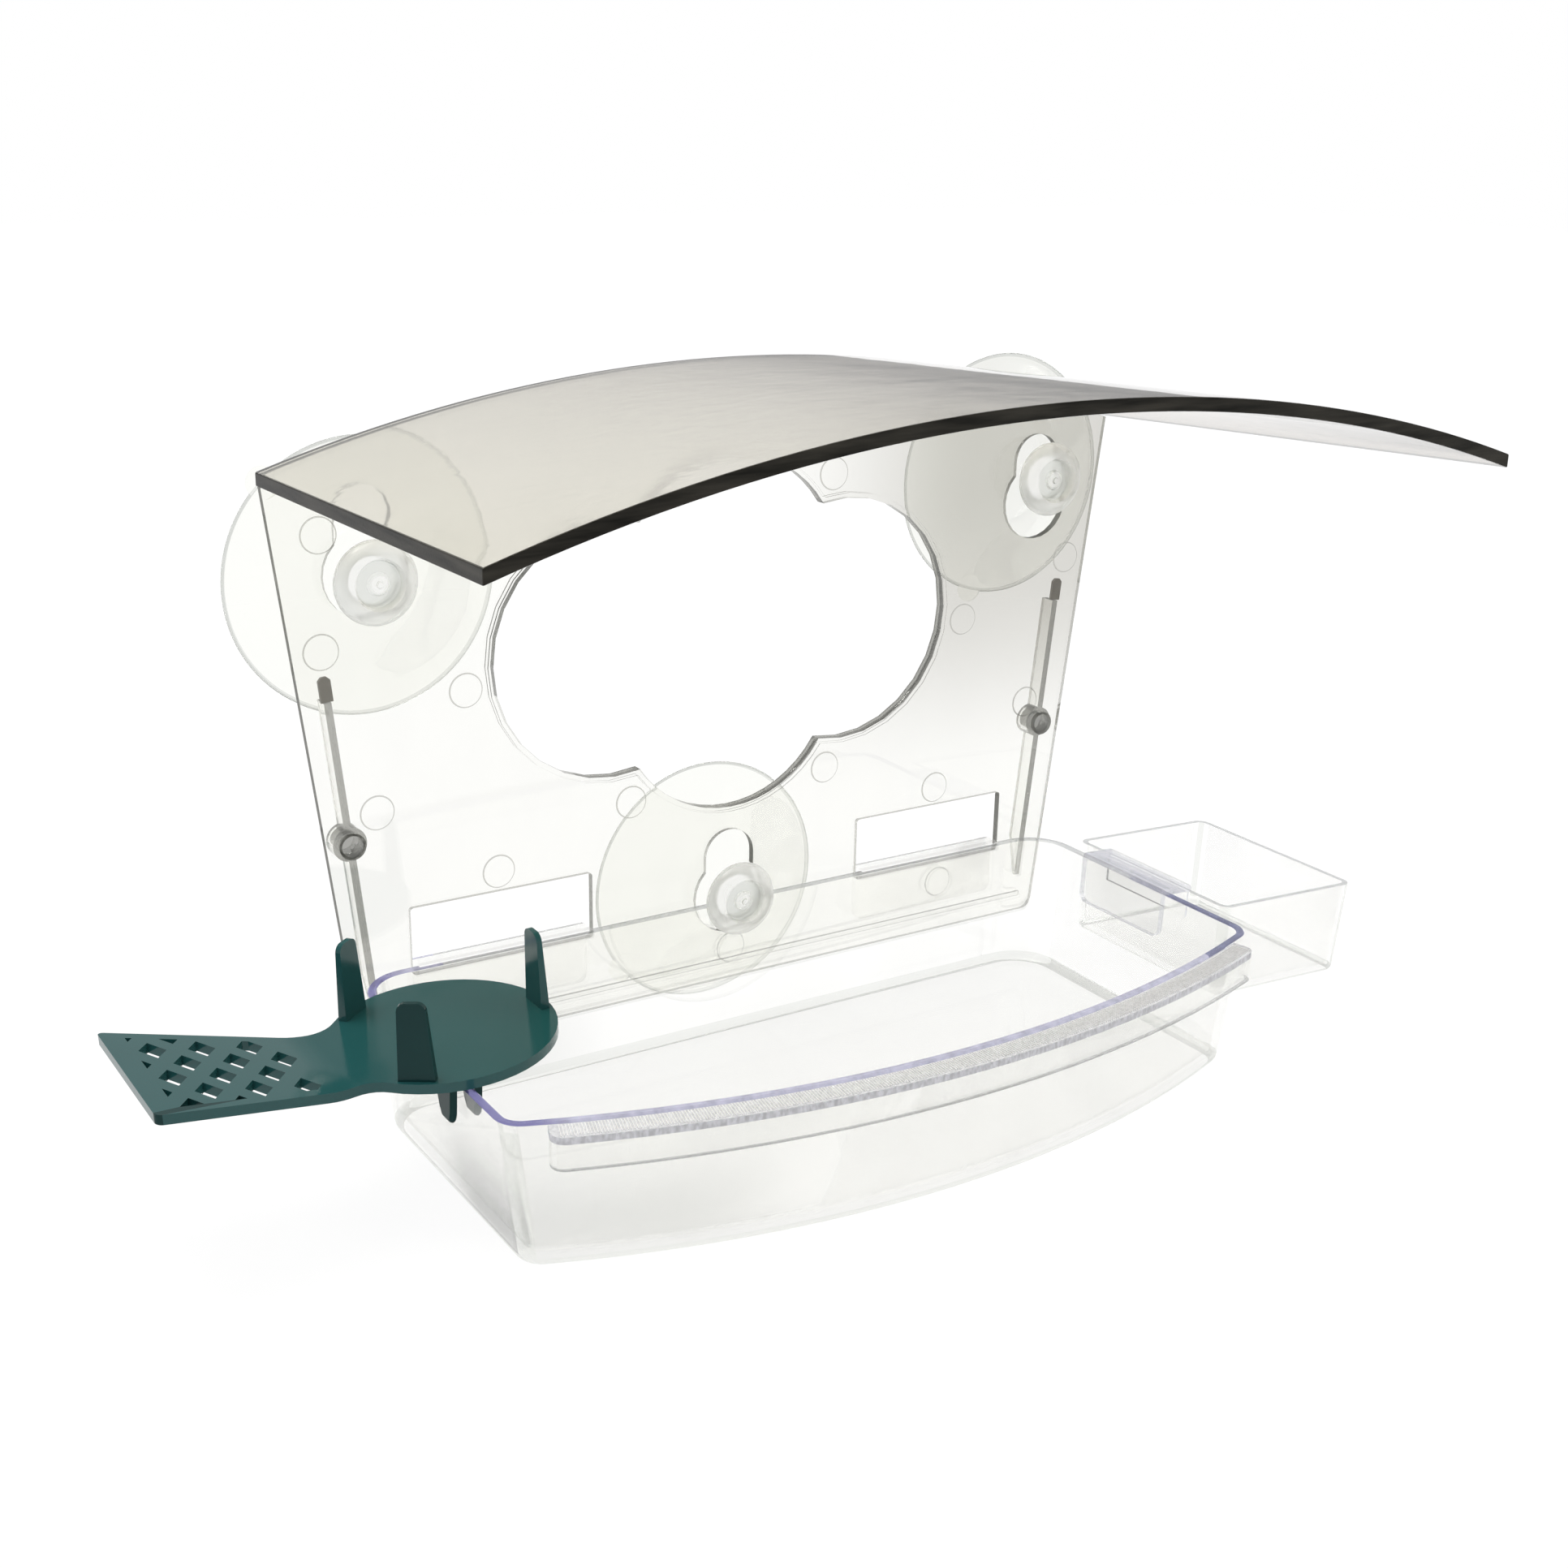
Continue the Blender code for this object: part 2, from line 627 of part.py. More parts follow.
def tray_ring(inset, height):
    """The tray's outline in from its outer face, at a height below the rim given as negative."""
    draft_share = -height / TRAY_DEPTH
    half = TRAY_HALF - TRAY_SIDE_DRAFT * draft_share
    back = -TRAY_BACK_CLEARANCE - TRAY_BACK_DRAFT * draft_share
    corner = -TRAY_BACK_CLEARANCE - TRAY_SIDE_LENGTH + TRAY_CORNER_DRAFT * draft_share
    apex = -TRAY_BACK_CLEARANCE - TRAY_SIDE_LENGTH - TRAY_BOW + TRAY_FRONT_DRAFT * draft_share
    bow = corner - apex
    radius = (half**2 + bow**2) / (2 * bow)
    middle = apex + radius
    radius -= inset
    half -= inset
    back -= inset
    back_round = TRAY_BACK_RADIUS - inset
    front_round = TRAY_FRONT_RADIUS - inset
    front_y = middle - sqrt((radius - front_round) ** 2 - (half - front_round) ** 2)
    turn = atan2(front_y - middle, half - front_round)
    points = arc((0, middle), radius, -pi - turn, turn, BOW_STEPS)
    points += arc((half - front_round, front_y), front_round, turn, 0, CORNER_STEPS)[1:]
    points += arc((half - back_round, back - back_round), back_round, 0, pi / 2, BACK_CORNER_STEPS)
    points += arc((back_round - half, back - back_round), back_round, pi / 2, pi, BACK_CORNER_STEPS)
    points += arc((front_round - half, front_y), front_round, pi, pi - turn, CORNER_STEPS)[:-1]
    return [(point.x, point.y, height) for point in points]


def tray_shell():
    """The open tray: outer wall, rounded rim, inner wall and floor."""
    rings = []
    for step in range(CORNER_STEPS + 1):
        turn = pi / 2 * step / CORNER_STEPS
        inset = TRAY_FLOOR_RADIUS * (1 - sin(turn))
        rings.append(tray_ring(inset, -TRAY_DEPTH + TRAY_FLOOR_RADIUS * (1 - cos(turn))))
    rings.append(tray_ring(0, -TRAY_LIP_ROUND))
    rings.append(tray_ring(TRAY_LIP_ROUND, 0))
    rings.append(tray_ring(TRAY_WALL - TRAY_LIP_ROUND, 0))
    rings.append(tray_ring(TRAY_WALL, -TRAY_LIP_ROUND))
    for step in range(CORNER_STEPS + 1):
        turn = pi / 2 * (1 - step / CORNER_STEPS)
        inset = TRAY_WALL + TRAY_FLOOR_RADIUS * (1 - sin(turn))
        height = TRAY_FLOOR - TRAY_DEPTH + TRAY_FLOOR_RADIUS * (1 - cos(turn))
        rings.append(tray_ring(inset, height))
    return loft(rings)


def ledge_sweep():
    """The perch ledge with its hanging skirt, swept along the bow, with rounded ends."""
    half = TRAY_HALF
    radius = (half**2 + TRAY_BOW**2) / (2 * TRAY_BOW)
    middle = -TRAY_BACK_CLEARANCE - TRAY_SIDE_LENGTH - TRAY_BOW + radius
    end_turn = asin((half - LEDGE_INSET) / (radius + LEDGE_REACH))
    corner_turn = LEDGE_CORNER_RADIUS / (radius + LEDGE_REACH)
    turns = []
    for step in range(CORNER_STEPS):
        turns.append(end_turn - corner_turn * (1 - cos(pi / 2 * step / CORNER_STEPS)))
    inner_turn = end_turn - corner_turn
    turns += [inner_turn * (1 - 2 * step / BOW_STEPS) for step in range(BOW_STEPS + 1)]
    turns += [-turn for turn in reversed(turns[:CORNER_STEPS])]
    top = -LEDGE_DROP
    stations = []
    for turn in turns:
        short = max(corner_turn - (end_turn - abs(turn)), 0) / corner_turn
        reach = LEDGE_REACH - LEDGE_CORNER_RADIUS * (1 - sqrt(max(1 - short**2, 0)))
        section = [
            (-WELD, top),
            (reach, top),
            (reach, top - SKIRT_DEPTH),
            (reach - SKIRT_THICK, top - SKIRT_DEPTH),
            (reach - SKIRT_THICK, top - LEDGE_THICK),
            (-WELD, top - LEDGE_THICK),
        ]
        ring = []
        for out, z in section:
            ring.append(((radius + out) * sin(turn), middle - (radius + out) * cos(turn), z))
        stations.append(ring)
    return loft(stations)


def hook_span(side):
    """Lower and higher X of a hook, inside its slot."""
    inner = side * (SLOT_INNER + HOOK_SIDE_CLEARANCE)
    outer = side * (SLOT_INNER + SLOT_LENGTH - HOOK_SIDE_CLEARANCE)
    return min(inner, outer), max(inner, outer)


def build_seed_tray():
    """The tray with its ledge, two hooks and the notch for the lower cup's neck."""
    tray = new_object("seed_tray", tray_shell(), clear_plastic("seed_tray"))
    tray.location = (0, PANEL_FRONT_Y, TRAY_RIM_Z)
    combine(tray, ledge_sweep(), "UNION", "tray_ledge")
    tab_front = PANEL_THICK + HOOK_TAB_CLEARANCE
    wall_inside = -TRAY_BACK_CLEARANCE - TRAY_WALL + WELD
    for side, name in ((-1, "left"), (1, "right")):
        low, high = hook_span(side)
        bridge = box_outline(
            (wall_inside, HOOK_PROUD - HOOK_THICK),
            (tab_front + HOOK_TAB_THICK / 2, HOOK_PROUD),
        )
        combine(tray, prism(bridge, "X", low, high), "UNION", "tray_bridge_" + name)
        corners = box_outline((low, -HOOK_TAB_DROP), (high, 0))
        tab = rounded(corners, [HOOK_TAB_RADIUS, HOOK_TAB_RADIUS, 0, 0])
        tab_back = tab_front + HOOK_TAB_THICK
        combine(tray, prism(tab, "Y", tab_front, tab_back), "UNION", "tray_tab_" + name)
    half = NECK_RADIUS + NOTCH_SIDE_CLEARANCE
    bottom = -TRAY_RIM_Z - NECK_RADIUS - TRAY_LIFT - GAP * 2
    notch = arc((0, bottom + half), half, -pi, 0, KEY_STEPS)
    notch += [Vector((half, OVERRUN)), Vector((-half, OVERRUN))]
    cut = prism(notch, "Y", wall_inside - TRAY_WALL - OVERRUN, OVERRUN)
    combine(tray, cut, "DIFFERENCE", "tray_notch")


# Side cup, in a frame on the tray's right rim, tilted as it hangs


def side_cup_ring(inset, height):
    """The cup's rounded outline in from its outer face, at a height below its rim."""
    draft = SIDE_CUP_DRAFT * -height / SIDE_CUP_DEPTH
    low_x = SIDE_CUP_STANDOFF + draft + inset
    high_x = SIDE_CUP_STANDOFF + SIDE_CUP_WIDTH - draft - inset
    half_y = SIDE_CUP_LENGTH / 2 - draft - inset
    radius = SIDE_CUP_CORNER_RADIUS - inset
    outline = rounded(box_outline((low_x, -half_y), (high_x, half_y)), [radius] * 4)
    return [(point.x, point.y, height - SIDE_CUP_RIM_DROP) for point in outline]


def side_cup_shell():
    """The open cup with a rounded edge round its floor."""
    rings = []
    for step in range(CORNER_STEPS + 1):
        turn = pi / 2 * step / CORNER_STEPS
        inset = SIDE_CUP_FLOOR_RADIUS * (1 - sin(turn))
        rings.append(side_cup_ring(inset, -SIDE_CUP_DEPTH + SIDE_CUP_FLOOR_RADIUS * (1 - cos(turn))))
    rings.append(side_cup_ring(0, 0))
    rings.append(side_cup_ring(SIDE_CUP_WALL, 0))
    rings.append(side_cup_ring(SIDE_CUP_WALL, SIDE_CUP_FLOOR_RADIUS + SIDE_CUP_WALL - SIDE_CUP_DEPTH))
    inset = SIDE_CUP_WALL + SIDE_CUP_FLOOR_RADIUS / 2
    rings.append(side_cup_ring(inset, SIDE_CUP_WALL - SIDE_CUP_DEPTH))
    return loft(rings)


def build_side_cup():
    """The cup and the saddle that hooks it over the tray's wall."""
    cup = new_object("side_cup", side_cup_shell(), clear_plastic("side_cup"))
    cup.location = (TRAY_HALF, PANEL_FRONT_Y - SIDE_CUP_SETBACK, TRAY_RIM_Z + GAP)
    cup.rotation_euler = (0, SIDE_CUP_TILT, 0)
    lean = SADDLE_TAB_DROP * (TRAY_SIDE_DRAFT / TRAY_DEPTH - sin(SIDE_CUP_TILT))
    tab_outer = -TRAY_WALL - GAP - max(lean, 0)
    tab_inner = tab_outer - SADDLE_TAB_THICK
    leg_inner = SIDE_CUP_STANDOFF - SADDLE_LEG_PROUD
    leg_outer = SIDE_CUP_STANDOFF + SIDE_CUP_WALL / 2
    half = SADDLE_WIDTH / 2
    corners = [
        (tab_inner, 0),
        (leg_inner, 0),
        (leg_inner, -SADDLE_LEG),
        (leg_outer, -SADDLE_LEG),
        (leg_outer, SADDLE_THICK),
        (tab_inner, SADDLE_THICK),
    ]
    saddle = rounded(corners, [0, 0, 0, 0, SADDLE_THICK / 2, SADDLE_THICK / 2])
    combine(cup, prism(saddle, "Y", -half, half), "UNION", "saddle")
    tab = rounded(
        box_outline((-half, -SADDLE_TAB_DROP), (half, SADDLE_THICK / 2)),
        [SADDLE_TAB_RADIUS, SADDLE_TAB_RADIUS, 0, 0],
    )
    combine(cup, prism(tab, "X", tab_inner, tab_outer), "UNION", "saddle_tab")


# Fruit holder, in a frame on the tray's left rim, tilted as it sits


def perch_half(out):
    """Half width of the perch at a distance out from the disc's middle."""
    inner = DISC_RADIUS + PERCH_BEND_LENGTH
    share = (out - inner) / (PERCH_REACH - inner)
    return (PERCH_INNER_WIDTH + (PERCH_OUTER_WIDTH - PERCH_INNER_WIDTH) * share) / 2


def holder_outline():
    """Disc and perch in plan, (out, across), blended by fillets."""
    slope = (PERCH_OUTER_WIDTH - PERCH_INNER_WIDTH) / 2 / (PERCH_REACH - DISC_RADIUS - PERCH_BEND_LENGTH)
    length = sqrt(1 + slope**2)
    offset = perch_half(0) + PERCH_FILLET * length
    reach = DISC_RADIUS + PERCH_FILLET
    root = sqrt((offset * slope) ** 2 - (1 + slope**2) * (offset**2 - reach**2))
    out = (root - offset * slope) / (1 + slope**2)
    centre = Vector((out, offset + slope * out))
    disc_turn = atan2(centre.y, centre.x)
    side_turn = atan2(-1, slope)
    end_half = perch_half(PERCH_REACH)
    upper = fillet((PERCH_REACH, 0), (PERCH_REACH, end_half), (0, perch_half(0)), PERCH_CORNER_RADIUS)
    upper += arc(centre, PERCH_FILLET, side_turn, disc_turn - pi, CORNER_STEPS)
    disc = arc((0, 0), DISC_RADIUS, disc_turn, 2 * pi - disc_turn, ROUND_STEPS)
    lower = [Vector((point.x, -point.y)) for point in reversed(upper)]
    return upper + disc[1:-1] + lower


def clip(points, inside, crossing):
    """The part of a closed outline on one side of a line."""
    kept = []
    for index, point in enumerate(points):
        before = points[index - 1]
        if inside(before) != inside(point):
            kept.append(crossing(before, point))
        if inside(point):
            kept.append(point)
    return kept


def clip_to(points, normal, limit):
    """Keep the part of an outline where normal . point stays below the limit."""
    normal = Vector(normal)

    def inside(point):
        return normal.dot(point) <= limit

    def crossing(first, second):
        near, far = normal.dot(first), normal.dot(second)
        return first.lerp(second, (limit - near) / (far - near))

    return clip(points, inside, crossing)


def lattice_holes():
    """Rhombic holes in staggered rows, clipped by the perch's border."""
    half_along = LATTICE_PITCH / 2 * LATTICE_HOLE_SHARE
    half_across = LATTICE_SPREAD / 2 * LATTICE_HOLE_SHARE
    inner = DISC_RADIUS + PERCH_BEND_LENGTH
    slope = (perch_half(PERCH_REACH) - perch_half(inner)) / (PERCH_REACH - inner)
    side = perch_half(0) - LATTICE_SIDE_BORDER
    rows = int(PERCH_OUTER_WIDTH / LATTICE_SPREAD) + 1
    columns = int(PERCH_REACH / LATTICE_PITCH) + 1
    holes = []
    for row in range(-2 * rows - 1, 2 * rows + 2, 2):
        across = row * LATTICE_SPREAD / 4
        stagger = 0 if (row - 3) % 4 == 0 else 1
        for column in range(-1, columns):
            out = PERCH_REACH - LATTICE_FIRST - (column + stagger / 2) * LATTICE_PITCH
            hole = [
                Vector((out + half_along, across)),
                Vector((out, across + half_across)),
                Vector((out - half_along, across)),
                Vector((out, across - half_across)),
            ]
            hole = clip_to(hole, (1, 0), PERCH_REACH - LATTICE_END_BORDER)
            hole = clip_to(hole, (-1, 0), -inner)
            hole = clip_to(hole, (-slope, 1), side)
            hole = clip_to(hole, (-slope, -1), side)
            if len(hole) > 2 and outline_area(hole) > LATTICE_LEAST_SHARE * 2 * half_along * half_across:
                holes.append(hole)
    return holes


def outline_area(points):
    """Area inside a closed outline."""
    total = 0
    for index, point in enumerate(points):
        total += points[index - 1].x * point.y - point.x * points[index - 1].y
    return abs(total) / 2


def bend_height(out):
    """How far the perch has risen at a distance out from the disc's middle."""
    past = out - DISC_RADIUS
    slope = tan(PERCH_RISE)
    if past <= 0:
        return 0
    if past < PERCH_BEND_LENGTH:
        return slope * past**2 / (2 * PERCH_BEND_LENGTH)
    return slope * (past - PERCH_BEND_LENGTH / 2)


def holder_plate():
    """The disc and the pierced perch as one plate, bent up towards the perch's end."""
    flat = new_object("holder_flat", prism(holder_outline(), "Z", 0, DISC_THICK))
    cuts = bmesh.new()
    for hole in lattice_holes():
        prism(hole, "Z", -OVERRUN, DISC_THICK + OVERRUN, cuts)
    combine(flat, cuts, "DIFFERENCE", "lattice_cuts")
    graph = bpy.context.evaluated_depsgraph_get()
    pierced = flat.evaluated_get(graph).to_mesh()
    bm = bmesh.new()
    bm.from_mesh(pierced)
    for tool in [*flat.children, flat]:
        bpy.data.objects.remove(tool, do_unlink=True)
    bmesh.ops.triangulate(bm, faces=bm.faces)
    for step in range(BEND_STEPS + 1):
        out = DISC_RADIUS + PERCH_BEND_LENGTH * step / BEND_STEPS
        bmesh.ops.bisect_plane(
            bm, geom=bm.verts[:] + bm.edges[:] + bm.faces[:], plane_co=(out, 0, 0), plane_no=(1, 0, 0)
        )
    for vertex in bm.verts:
        vertex.co.z += bend_height(vertex.co.x)
        vertex.co.x = DISC_INSET - vertex.co.x
    return bm


def blade(turn):
    """An upright tapered blade with a rounded top, square to the disc's radius."""
    half = BLADE_BASE_WIDTH / 2
    top = BLADE_TOP_WIDTH / 2
    corners = [(-half, -WELD), (half, -WELD), (top, BLADE_HEIGHT), (-top, BLADE_HEIGHT)]
    outline = rounded(corners, [0, 0, BLADE_TOP_RADIUS, BLADE_TOP_RADIUS])
    bm = prism(outline, "X", -BLADE_BASE_THICK / 2, BLADE_BASE_THICK / 2)
    for vertex in bm.verts:
        share = max(vertex.co.z, 0) / BLADE_HEIGHT
        thin = 1 + (BLADE_TOP_THICK / BLADE_BASE_THICK - 1) * share
        out = BLADE_RING_RADIUS + vertex.co.x * thin
        sideways = vertex.co.y
        vertex.co.x = DISC_INSET + out * cos(turn) - sideways * sin(turn)
        vertex.co.y = out * sin(turn) + sideways * cos(turn)
        vertex.co.z += DISC_THICK
    return bm


def prongs():
    """Two pairs of prongs that straddle the tray's wall, below the disc."""
    shift = PRONG_LENGTH * sin(HOLDER_TILT)
    outer = -GAP - shift
    inner = TRAY_WALL + GAP + PRONG_LENGTH * TRAY_SIDE_DRAFT / TRAY_DEPTH - shift
    bm = bmesh.new()
    for side in (-1, 1):
        middle = side * PRONG_OFFSET
        corners = box_outline(
            (middle - PRONG_WIDTH / 2, -PRONG_LENGTH),
            (middle + PRONG_WIDTH / 2, WELD),
        )
        outline = rounded(corners, [PRONG_RADIUS, PRONG_RADIUS, 0, 0])
        prism(outline, "X", outer - PRONG_THICK, outer, bm)
        prism(outline, "X", inner, inner + PRONG_THICK, bm)
    return bm


def build_fruit_holder():
    """The dark green moulding: disc, blades, prongs and lattice perch."""
    finish = plastic("fruit_holder_green", (0.012, 0.085, 0.085), 0.25)
    holder = new_object("fruit_holder", holder_plate(), finish)
    holder.location = (-TRAY_HALF, PANEL_FRONT_Y - HOLDER_SETBACK, TRAY_RIM_Z + GAP)
    holder.rotation_euler = (0, -HOLDER_TILT, 0)
    for turn, name in ((0, "inner"), (BLADE_SPREAD, "back"), (-BLADE_SPREAD, "front")):
        combine(holder, blade(turn), "UNION", "blade_" + name)
    combine(holder, prongs(), "UNION", "prongs")


# Suction cups


def cup_profile():
    """Half section of a cup as (radius, y), from the hollow's middle round to the head's middle."""
    dome_root = PANEL_BACK_Y + GAP
    head_rear = dome_root - NECK_LENGTH
    face = head_rear - HEAD_THICK
    shoulder = NECK_RADIUS + DOME_ROUND
    land = LIP_RADIUS - LIP_LAND
    dish = face + HEAD_DISH_DEPTH
    return [
        (NECK_RADIUS / 2, dome_root + DOME_THICK),
        (shoulder, dome_root + DOME_THICK + DOME_ROUND / 2),
        (land, 0),
        (LIP_RADIUS, 0),
        (LIP_RADIUS, -LIP_THICK),
        (land, -LIP_THICK - GAP),
        (SEAT_RADIUS + DOME_ROUND / 2, dome_root + DOME_ROUND),
        (SEAT_RADIUS, dome_root),
        (NECK_RADIUS, dome_root),
        (NECK_RADIUS, head_rear),
        (HEAD_RADIUS - DOME_ROUND / 2, head_rear),
        (HEAD_RADIUS, head_rear - HEAD_THICK / 4),
        (HEAD_RADIUS - DOME_ROUND / 4, head_rear - HEAD_THICK / 2),
        (HEAD_RADIUS - DOME_ROUND, face + HEAD_THICK / 8),
        (HEAD_DISH_RADIUS, face),
        (HEAD_RING_RADIUS, dish),
        (HEAD_NUB_RADIUS, dish),
        (HEAD_NUB_RADIUS / 2, face + HEAD_DISH_DEPTH / 2),
    ]


def build_suction_cups():
    """Three alike cups, each turned about its own axis by its pull tab's direction."""
    places = (
        ("left", -UPPER_KEY_X, UPPER_KEY_Z + LEFT_CUP_RISE, LEFT_TAB_TURN),
        ("right", UPPER_KEY_X, UPPER_KEY_Z + RIGHT_CUP_RISE, RIGHT_TAB_TURN),
        ("lower", 0, LOWER_KEY_Z + LOWER_CUP_RISE, LOWER_TAB_TURN),
    )
    for name, x, z, turn in places:
        node = "suction_cup_" + name
        finish = plastic(node + "_soft", (0.85, 0.90, 0.88), 0.12, 0.4)
        cup = new_object(node, turned(cup_profile()), finish)
        cup.location = (x, 0, z)
        out = LIP_RADIUS + PULL_TAB_REACH - PULL_TAB_RADIUS
        middle = (out * cos(turn), out * sin(turn))
        outline = arc(middle, PULL_TAB_RADIUS, 0, 2 * pi, KEY_STEPS)[:-1]
        pull = prism(outline, "Y", -LIP_THICK - GAP / 2, -GAP / 2)
        combine(cup, pull, "UNION", node + "_pull_tab")


def main():
    """Build every piece of the feeder."""
    clear_scene()
    build_back_panel()
    build_roof()
    build_rails()
    build_rail_pins()
    build_rail_caps()
    build_seed_tray()
    build_side_cup()
    build_fruit_holder()
    build_suction_cups()


main()
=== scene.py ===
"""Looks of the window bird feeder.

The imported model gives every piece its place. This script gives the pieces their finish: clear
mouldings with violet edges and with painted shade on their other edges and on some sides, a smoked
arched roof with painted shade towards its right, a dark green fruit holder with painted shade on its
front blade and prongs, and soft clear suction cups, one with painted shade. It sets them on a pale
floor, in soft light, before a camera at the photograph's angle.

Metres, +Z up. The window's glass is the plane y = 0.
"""

import logging
from dataclasses import dataclass, field
from enum import Enum
from math import cos, hypot, pi, radians, sin
from typing import Callable, Optional, Union

import bpy
from mathutils import Matrix, Vector


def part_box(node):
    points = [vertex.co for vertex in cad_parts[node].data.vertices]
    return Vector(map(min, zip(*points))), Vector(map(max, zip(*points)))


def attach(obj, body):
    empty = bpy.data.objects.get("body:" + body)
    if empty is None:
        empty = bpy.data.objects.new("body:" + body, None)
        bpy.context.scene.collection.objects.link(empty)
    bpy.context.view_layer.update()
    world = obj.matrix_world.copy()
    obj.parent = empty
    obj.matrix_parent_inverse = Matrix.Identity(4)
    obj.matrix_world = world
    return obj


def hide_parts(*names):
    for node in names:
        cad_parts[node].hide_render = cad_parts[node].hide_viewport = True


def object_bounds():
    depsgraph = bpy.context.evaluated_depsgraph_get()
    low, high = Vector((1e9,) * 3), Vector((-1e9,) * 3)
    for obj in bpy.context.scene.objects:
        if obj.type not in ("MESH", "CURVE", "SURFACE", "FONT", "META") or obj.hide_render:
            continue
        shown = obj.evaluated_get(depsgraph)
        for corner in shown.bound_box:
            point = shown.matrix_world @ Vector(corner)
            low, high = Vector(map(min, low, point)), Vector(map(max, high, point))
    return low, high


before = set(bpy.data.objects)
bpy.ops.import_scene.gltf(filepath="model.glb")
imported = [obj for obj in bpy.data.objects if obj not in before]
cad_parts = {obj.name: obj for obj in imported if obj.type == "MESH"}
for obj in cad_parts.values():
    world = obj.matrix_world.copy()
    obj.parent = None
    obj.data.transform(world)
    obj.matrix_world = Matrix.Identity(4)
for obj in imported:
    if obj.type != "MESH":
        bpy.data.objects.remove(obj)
CAD_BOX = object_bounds()

MM = 0.001

logging.basicConfig(level=logging.INFO, format="%(name)s: %(message)s")
log = logging.getLogger("feeder")

Triple = tuple[float, float, float]
Colour = Triple
Range = tuple[float, float]
FaceTest = Callable[[Vector, Vector], bool]

EVEN: Triple = (1.0, 1.0, 1.0)
WHITE = (1.0, 1.0, 1.0, 1.0)
STRAIGHT = Vector((0.0, 0.0, 0.0))

# How the noise of a finish runs over a piece.
FLOW_STRETCH: Triple = (1.0, 1.0, 0.45)
CLOUD_RANGE: Range = (0.35, 0.65)
SMEAR_FINENESS = 7
SMEAR_DETAIL = 4.0
STREAK_SCALE = 45.0
GRAIN_SCALE = 2200.0
GRAIN_DETAIL = 2.0
SOLID_IOR = 1.5
LEAST_ROUGH = 0.8
ROUGH_SWING = 0.4

# How far apart corners may be to merge, and how little faces may turn to become one.
MERGE_REACH = 0.002 * MM
FLAT_TURN = radians(0.08)
# The turn between two faces above which their edge stays crisp.
CRISP_TURN = radians(35.0)

# Shares of a face's normal along an axis, by which faces are told apart.
SQUARE = 0.97
FACING = 0.9
WALL = 0.8
SIDE = 0.7
SLANT = 0.6
EDGE = 0.5
BRIM = 0.3
UPRIGHT = 0.25
FOOT_TURN: Range = (-0.97, -0.2)

# The number of sides of a large and of a small round piece.
FINE_STEPS = 96
COARSE_STEPS = 48


class Slot(Enum):
    """The record's material slots."""

    CLEAR = "clear_plastic"
    SMOKED = "smoked_plastic"
    GREEN = "green_plastic"
    SOFT = "soft_clear"
    GREY = "grey_cap"


class Body(Enum):
    """The bodies that the pieces ride on."""

    FRAME = "frame"
    TRAY = "tray"
    SIDE_FEEDER = "side_feeder"
    FRUIT_PERCH = "fruit_perch"
    CUP_LEFT = "cup_left"
    CUP_RIGHT = "cup_right"
    CUP_LOWER = "cup_lower"


class Wire:
    """A socket whose sums and products add their own Math nodes."""

    def __init__(self, bench: "NodeBench", socket: bpy.types.NodeSocket) -> None:
        """Keep the output socket and the bench that new nodes go to."""
        self.bench = bench
        self.socket = socket

    def _math(self, operation: str, first: "Value", second: "Value") -> "Wire":
        """The wire of a Math node that joins two values."""
        node = self.bench.node("ShaderNodeMath", {"operation": operation}, {0: first, 1: second})
        return Wire(self.bench, node.outputs[0])

    def __add__(self, other: "Value") -> "Wire":
        """The sum with another value."""
        return self._math("ADD", self, other)

    __radd__ = __add__

    def __sub__(self, other: "Value") -> "Wire":
        """This value less another."""
        return self._math("SUBTRACT", self, other)

    def __rsub__(self, other: "Value") -> "Wire":
        """Another value less this one."""
        return self._math("SUBTRACT", other, self)

    def __mul__(self, other: "Value") -> "Wire":
        """The product with another value."""
        return self._math("MULTIPLY", self, other)

    __rmul__ = __mul__

    def __or__(self, other: "Value") -> "Wire":
        """The larger of the two values."""
        return self._math("MAXIMUM", self, other)


Value = Union[Wire, float, Colour, tuple[float, float, float, float]]


